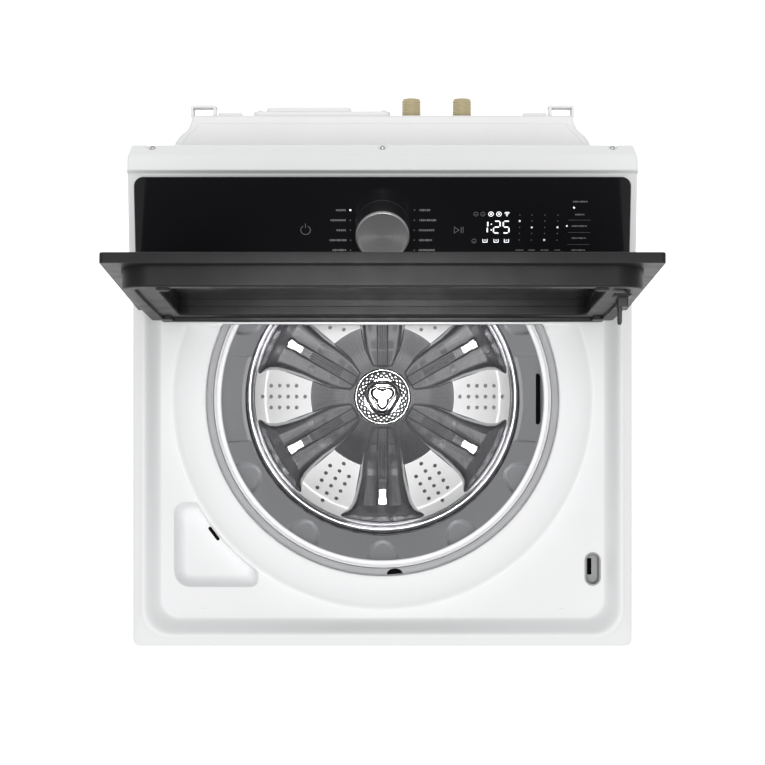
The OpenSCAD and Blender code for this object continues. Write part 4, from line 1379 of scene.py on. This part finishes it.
def make_hub_cap():
    s = Shape()
    count = 216
    radii = [1.0] + [2 + 0.62 * k for k in range(71)] + [46.0, HUB_R]
    rings = []
    for r in radii:
        rings.append([(x, y, hub_z(r, TAU * k / count)) for k, (x, y) in enumerate(circle(r, count))])
    made = s.loft(rings[::-1])
    s.face(*made[-1])
    base = s.add(at_height(circle(HUB_R, count), 386))
    s.join(base, made[0])
    return build("hub_dome", s, [CHROME], "pulsator", tub_place(),
                 replaces=("hub_cap",), sharp=70)


# ---- Back of the machine

REAR_LOW = 865
REAR_HIGH = 1000
REAR_BACK = 390
REAR_SIDE = [(286, 340), (285, 352), (278, 362), (268, 370), (263, 380), (262, 390)]


def rear_ring(inset, z):
    """Plan outline of the rear housing: its sides step in through an S-curve."""
    points = []
    for side in (1, -1):
        part = []
        for i, (x, y) in enumerate(REAR_SIDE):
            r = 0 if i == 0 else (5 if i == len(REAR_SIDE) - 1 else 9)
            part.append((side * (x - inset), min(y, REAR_BACK - inset), max(r - inset, 0.4) if r else 0))
        points += part if side == 1 else part[::-1]
    return at_height(rounded(points, 0, 5, closed=True), z)


def make_rear_housing():
    s = Shape()
    levels = [(2.6, REAR_LOW), (1.0, REAR_LOW + 0.5), (0, REAR_LOW + 2.4), (0, REAR_HIGH - 3.4),
              (0.5, REAR_HIGH - 1.6), (1.6, REAR_HIGH - 0.5), (3.2, REAR_HIGH), (10, REAR_HIGH),
              (11, REAR_HIGH - 0.5), (11.6, REAR_HIGH - 1.3), (13, REAR_HIGH - 1.5)]
    s.loft([rear_ring(a, z) for a, z in levels], ends=(True, True))
    piece = build("rear_shroud", s, [REAR], "cabinet", tub_place(),
                  replaces=("rear_housing",), sharp=35, fix_normals=True)
    holes = Shape()
    for x in INLETS:
        rings = [[(x + 16.4 * math.cos(TAU * k / 40), y, INLET_Z + 16.4 * math.sin(TAU * k / 40))
                  for k in range(40)] for y in (384, 396)]
        holes.loft(rings, ends=(True, True))
    cut_out(piece, holes, tub_place())
    finish_mesh(piece, 0, CUT_SHARP)
    return piece


INLETS = (40, 110)
INLET_Z = 968


def make_inlet(name, x, node):
    """A moulded collar and a pipe thread with five turns, open at the end."""
    s = Shape()
    root, crest = 12.3, 13.2
    profile = [(15.9, 381), (15.9, 389.8), (15.3, 390.6), (14.2, 391), (root, 391.2), (root, 393)]
    for turn in range(6):
        y = 393.4 + turn * 3.4
        profile += [(root, y), (crest, y + 0.75), (crest, y + 1.75), (root, y + 2.6)]
    profile += [(root, 414), (root - 0.5, 415.4), (root - 1.2, 416), (10.4, 416), (9.6, 415.4),
                (9.2, 414), (9.2, 384)]
    count = 72
    rings = [[(x + r * math.cos(TAU * k / count), y, INLET_Z + r * math.sin(TAU * k / count))
              for k in range(count)] for r, y in profile]
    made = s.loft(rings)
    # The dark disc closing the bore's inner end is painted shade standing in for the depth of the pipe.
    s.slot = 1
    s.face(*made[-1])
    return build(name, s, [TAN, DARK], "cabinet", tub_place(), replaces=(node,), sharp=35,
                 fix_normals=True)


def soft_plate(s, x, z, y0, y1, r, edge):
    """A raised plate on the back, with round corners and a soft front edge."""
    levels = [(0, y0), (0, y1 - edge), (edge * 0.3, y1 - edge * 0.3), (edge, y1)]
    rings = []
    for inset, y in levels:
        ring = rect_ring(x[0] + inset, x[1] - inset, z[0] + inset, z[1] - inset, max(r - inset, 0.5), 6)
        rings.append([(a, y, b) for a, b in ring])
    s.loft(rings, ends=(True, True))


def screw_head(s, at, radius, axis="y", height=2.2):
    """A pan head with a cross recess, standing out along +y or up along z."""
    def stand(u, v, h):
        return (at[0] + u, at[1] + h, at[2] + v) if axis == "y" else (at[0] + u, at[1] + v, at[2] + h)

    profile = [(radius * wide, height * up) for wide, up in
               ((1, 0), (1, 0.35), (0.86, 0.75), (0.55, 0.95), (0.5, 1))]
    count = 24
    rings = []
    for r, h in profile:
        ring = []
        for k in range(count):
            a = TAU * k / count
            u, v = r * math.cos(a), r * math.sin(a)
            ring.append(stand(u, v, h))
        rings.append(ring)
    cross = []
    for k in range(count):
        a = TAU * k / count
        near = min(abs(math.cos(a)), abs(math.sin(a)))
        r = radius * (0.46 if near < 0.3 else 0.16)
        u, v = r * math.cos(a), r * math.sin(a)
        cross.append((u, v))
    for depth in (0, -height * 0.5):
        rings.append([stand(u, v, height + depth) for u, v in cross])
    s.loft(rings, ends=(False, True))


def make_service_cover():
    s = Shape()
    soft_plate(s, (-178, 11), (880, 991), REAR_BACK - 1, 397, 9, 2.5)
    soft_plate(s, (-160, -43), (890, 986), 396, 403, 7, 2.5)
    for x, z in ((-169, 888), (2, 888), (-169, 983), (2, 983)):
        screw_head(s, (x, 397, z), 3.6)
    return build("service_hatch", s, [REAR], "cabinet", tub_place(),
                 replaces=("service_cover",), sharp=35, fix_normals=True)


def make_hose_hooks():
    """An open hook and a ribbed foot on each side, for the hoses and the lead."""
    s = Shape()
    for side in (-1, 1):
        for x in (229, 260):
            soft_plate(s, sorted((side * x, side * (x + 4))), (958, 992), REAR_BACK - 1, 404, 1.5, 0.8)
        soft_plate(s, sorted((side * 229, side * 264)), (958, 992), 401.5, 405, 3, 1.2)
        soft_plate(s, sorted((side * 193, side * 226)), (955, 990), REAR_BACK - 1, 395, 4, 1.6)
        for x in (201, 209.5, 218):
            soft_plate(s, sorted((side * x - 1.2, side * x + 1.2)), (960, 985), 394, 395.0, 1, 0.3)
    return build("hose_guides", s, [REAR], "cabinet", tub_place(),
                 replaces=("hose_hooks",), sharp=35, fix_normals=True)


def panel_relief(x, z):
    """Depth of the back panel's pressings at a place, negative inwards."""
    depth = 0.0
    for cx, cz, hx, hz in ((-160, 640, 95, 175), (160, 640, 95, 175), (0, 300, 200, 90)):
        d = min(hx - abs(x - cx), hz - abs(z - cz))
        depth = min(depth, -5.0 * smooth(d, 0, 14))
    for cz in (500, 580, 660, 740):
        for cx in (-160, 160):
            d = min(60 - abs(x - cx), 9 - abs(z - cz))
            depth += 2.6 * smooth(d, 0, 7)
    return depth


def make_back_panel():
    """Galvanised sheet with pressed fields, ribs, two collared holes and screws."""
    s = Shape()
    half, low, high = 318, 34, CABINET_TOP
    columns, rows = 159, 234
    y0 = BACK - 0.1
    drain = (-236, 120, 17.5)
    gland = (-290, 160, 9)
    grid = []
    for j in range(rows + 1):
        z = low + (high - low) * j / rows
        row = []
        for i in range(columns + 1):
            x = -half + 2 * half * i / columns
            row.append((x, y0 + panel_relief(x, z), z))
        grid.append(s.add(row))
    for j in range(rows):
        for i in range(columns):
            x = -half + 2 * half * (i + 0.5) / columns
            z = low + (high - low) * (j + 0.5) / rows
            if any(abs(x - hx) < r + 2 and abs(z - hz) < r + 2 for hx, hz, r in (drain, gland)):
                continue
            s.face(grid[j][i], grid[j][i + 1], grid[j + 1][i + 1], grid[j + 1][i])
    for hx, hz, r in (drain, gland):
        count = 32
        outer, inner, back = [], [], []
        for k in range(count):
            a = TAU * k / count
            c, n = math.cos(a), math.sin(a)
            reach = (r + 5) / max(abs(c), abs(n))
            outer.append((hx + reach * c, y0 + 0.05, hz + reach * n))
            inner.append((hx + (r + 0.6) * c, y0 + 0.05, hz + (r + 0.6) * n))
            back.append((hx + r * c, y0 - 0.8, hz + r * n))
        s.loft([back, inner, outer])
    s.slot = 1
    for x in (-309, 309):
        for z in range(80, 960, 145):
            screw_head(s, (x, BACK - 0.3, z), 4.4, height=0.25)
    return build("back_sheet", s, [GALVANISED, ZINC], "cabinet", tub_place(),
                 replaces=("back_panel",), sharp=30)


def make_cabinet():
    """The painted wrap-round sheet, with a folded lower edge and a toe line."""
    s = Shape()
    low, high = 30, CABINET_TOP
    levels = [(14, low + 0.8), (2.2, low + 0.8), (0.6, low + 1.4), (0, low + 3), (0, low + 42),
              (0.9, low + 43.5), (0.9, low + 45), (0, low + 46.5), (0, high - 1.6), (0.5, high - 0.4),
              (1.4, high), (10, high)]
    rings = []
    for inset, z in levels:
        ring = plan_ring(HALF_W - inset, FRONT + inset, BACK - inset, max(10 - inset, 1), z)
        rings.append([p for p in ring if not (abs(p[0]) < 318 and p[1] > BACK - 20 - inset)])
    s.loft(rings)
    return build("cabinet_wrap", s, [WHITE], "cabinet", tub_place(),
                 replaces=("cabinet_shell",), sharp=40)


PAD_TOP = 12


def make_foot(node, body, x, y):
    """A rubber pad on a threaded stem."""
    s = Shape()
    profile = [(1, 0), (20.5, 0), (21.6, 0.6), (22.4, 2), (24, 5), (24, 6.8), (23, 8.2), (17, 10.8), (15, 12),
               (12.5, 12.6), (6.6, 12.9)]
    for k in range(22):
        z = 13.4 + k * 2.2
        profile += [(5.3, z), (5.98, z + 0.7), (5.98, z + 1.1), (5.3, z + 1.8)]
    profile += [(5.3, 61.5), (0.6, 62)]
    made = s.revolve(profile, 48, (x, y))
    s.face(*reversed(made[0]))
    s.face(*made[-1])
    s.slots = [1 if s.points[face[0]][2] > PAD_TOP else 0 for face in s.faces]
    return build(node + "_pad", s, [RUBBER, ZINC], body, tub_place(), replaces=(node,),
                 sharp=40, fix_normals=True)


def make_feet():
    for node, body in (("foot_front_left", "leg_front_left"), ("foot_front_right", "leg_front_right"),
                       ("foot_rear_left", "leg_rear_left"), ("foot_rear_right", "leg_rear_right")):
        low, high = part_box(node)
        x = (low.x + high.x) / 2 / MM
        y = ((low.y + high.y) / 2 - TUB_Y) / MM
        make_foot(node, body, x, y)


def make_drawer():
    """Two-compartment tray with rounded wells and a flat fascia with rounded edges."""
    s = Shape()
    low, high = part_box("detergent_drawer")
    z0, z1 = low.z / MM, high.z / MM
    front, back = (low.y - TUB_Y) / MM, (high.y - TUB_Y) / MM
    rings = []
    for inset, y in ((0, front + 5), (0, front + 1.4), (0.5, front + 0.4), (1.4, front + 0.05)):
        half = 109.6 - inset
        rings.append([(p, y, q) for p, q in rect_ring(-half, half, z0 + inset, z1 - inset, 3, 5)])
    s.loft(rings[::-1], ends=(True, True))
    body_top = z1 - 2.6
    outer = [at_height(rect_ring(-106, 106, front + 4, back, 8, 6), z) for z in (z0 + 0.5, body_top)]
    made = s.loft(outer)
    s.face(*reversed(made[0]))
    wells = []
    for x0, x1 in ((-103.8, -3.8), (-1.0, 103.8)):
        levels = ((0, body_top), (0.6, body_top - 0.8), (0.9, z0 + 7), (3.4, z0 + 3), (8, z0 + 2.2))
        rings = [at_height(rect_ring(x0 + a, x1 - a, front + 7 + a, back - 2 - a, 9 - a * 0.5, 6), z)
                 for a, z in levels]
        well = s.loft(rings[::-1])
        s.face(*well[0])
        wells.append(well[-1])
    s.flat(made[-1], wells)
    divider = rect_ring(-101, -6, front + 60, front + 63, 1, 3)
    s.loft([at_height(divider, z) for z in (z0 + 2, body_top - 4)], ends=(False, True))
    return build("dispenser_drawer", s, [BEZEL], "drawer", tub_place(),
                 replaces=("detergent_drawer",), sharp=40)


# ---- Carried-over CAD nodes

SLOT_LOOK = {
    "body_enamel": WHITE, "galvanised": GALVANISED, "cover_white": COVER, "rear_white": REAR,
    "black_glass": GLASS, "smoked_glass": SMOKED, "knob_metal": SPUN, "lid_plastic": LID,
    "dark_plastic": DARK, "grey_plastic": BEZEL, "tub_plastic": TUB, "ring_plastic": RING,
    "stainless": STEEL, "dark_chrome": WING, "bright_steel": CHROME, "cast_aluminium": ALUMINIUM,
    "plated_steel": ZINC, "black_rubber": RUBBER, "inlet_tan": TAN, "circuit_green": CIRCUIT,
    "copper_winding": COPPER, "frame_steel": FRAME,
}


def dress_cad():
    slots = {part["node"]: part["material_slot"] for part in frame["record"]["subparts"]}
    for name, piece in frame["nodes"].items():
        piece.data.materials.clear()
        piece.data.materials.append(SLOT_LOOK[slots[name]])


# ---- Making

dress_cad()
make_top_cover()
make_bleach_cup()
make_lock_bezel()
make_console_housing()
make_console_glass()
make_console_screws()
make_legends()
make_lit_display()
make_knob()
make_lid_frame()
make_lid_glass()
make_lid_inner_frame()
make_striker()
make_bumpers()
make_hinges()
make_pins()
make_tub_cover()
make_level_port()
make_balance_ring()
make_ring_slit()
make_basket_wall()
make_pulsator_plate()
make_wings()
make_petals()
make_hub_cap()
make_rear_housing()
make_inlet("cold_water_inlet", INLETS[0], "inlet_valve_cold")
make_inlet("hot_water_inlet", INLETS[1], "inlet_valve_hot")
make_service_cover()
make_hose_hooks()
make_back_panel()
make_cabinet()
make_feet()
make_drawer()


# ---- Floor, light and camera

def make_floor():
    s = Shape()
    s.loft([at_height(circle(r, 64), 0) for r in (1, 2000, 6000)])
    mesh = bpy.data.meshes.new("floor")
    mesh.from_pydata([tuple(Vector(p) * MM) for p in s.points], [], s.faces)
    floor = bpy.data.objects.new("floor", mesh)
    floor.location.z = -0.0005
    bpy.context.scene.collection.objects.link(floor)
    n = Nodes("floor_white")
    n.set(Specular_IOR_Level=0.05, Emission_Color=(1, 1, 1, 1), Emission_Strength=0.75)
    finish_surface(n, (0.93, 0.93, 0.93), 0.01, 0.9, 0.03, 1.5, 0, 0)
    mesh.materials.append(n.material)


def area_light(name, at, target, size, power):
    lamp = bpy.data.lights.new(name, "AREA")
    lamp.shape = "RECTANGLE"
    lamp.size, lamp.size_y = size
    lamp.energy = power
    light = bpy.data.objects.new(name, lamp)
    light.location = at
    light.rotation_euler = (Vector(target) - Vector(at)).to_track_quat("-Z", "Y").to_euler()
    bpy.context.scene.collection.objects.link(light)


def tub_lamp(power):
    """A narrow soft beam down the tub's axis, for the pulsator."""
    lamp = bpy.data.lights.new("tub", "SPOT")
    lamp.energy = power
    lamp.spot_size = math.radians(7.2)
    lamp.spot_blend = 0.35
    lamp.shadow_soft_size = 0.12
    light = bpy.data.objects.new("tub", lamp)
    light.location = (0, TUB_Y, 4.6)
    bpy.context.scene.collection.objects.link(light)


def make_world(strength):
    world = bpy.data.worlds.new("studio")
    world.use_nodes = True
    back = world.node_tree.nodes["Background"]
    back.inputs["Color"].default_value = (1, 1, 1, 1)
    back.inputs["Strength"].default_value = strength
    bpy.context.scene.world = world


def make_camera():
    camera = bpy.data.cameras.new("camera")
    camera.lens = 107.5
    camera.sensor_width = 36
    camera.clip_end = 50
    eye = bpy.data.objects.new("camera", camera)
    eye.location = (0, TUB_Y + 0.0233, 4.134)
    bpy.context.scene.collection.objects.link(eye)
    bpy.context.scene.camera = eye


make_floor()
make_world(0.6)
area_light("key", (0, -0.1, 4.6), (0, 0, 0.9), (2.4, 2.4), 60)
area_light("front", (0.3, -3.3, 3.2), (0, 0, 0.9), (2.6, 1.6), 7)
tub_lamp(500)
make_camera()
bpy.context.scene.view_settings.view_transform = "Standard"
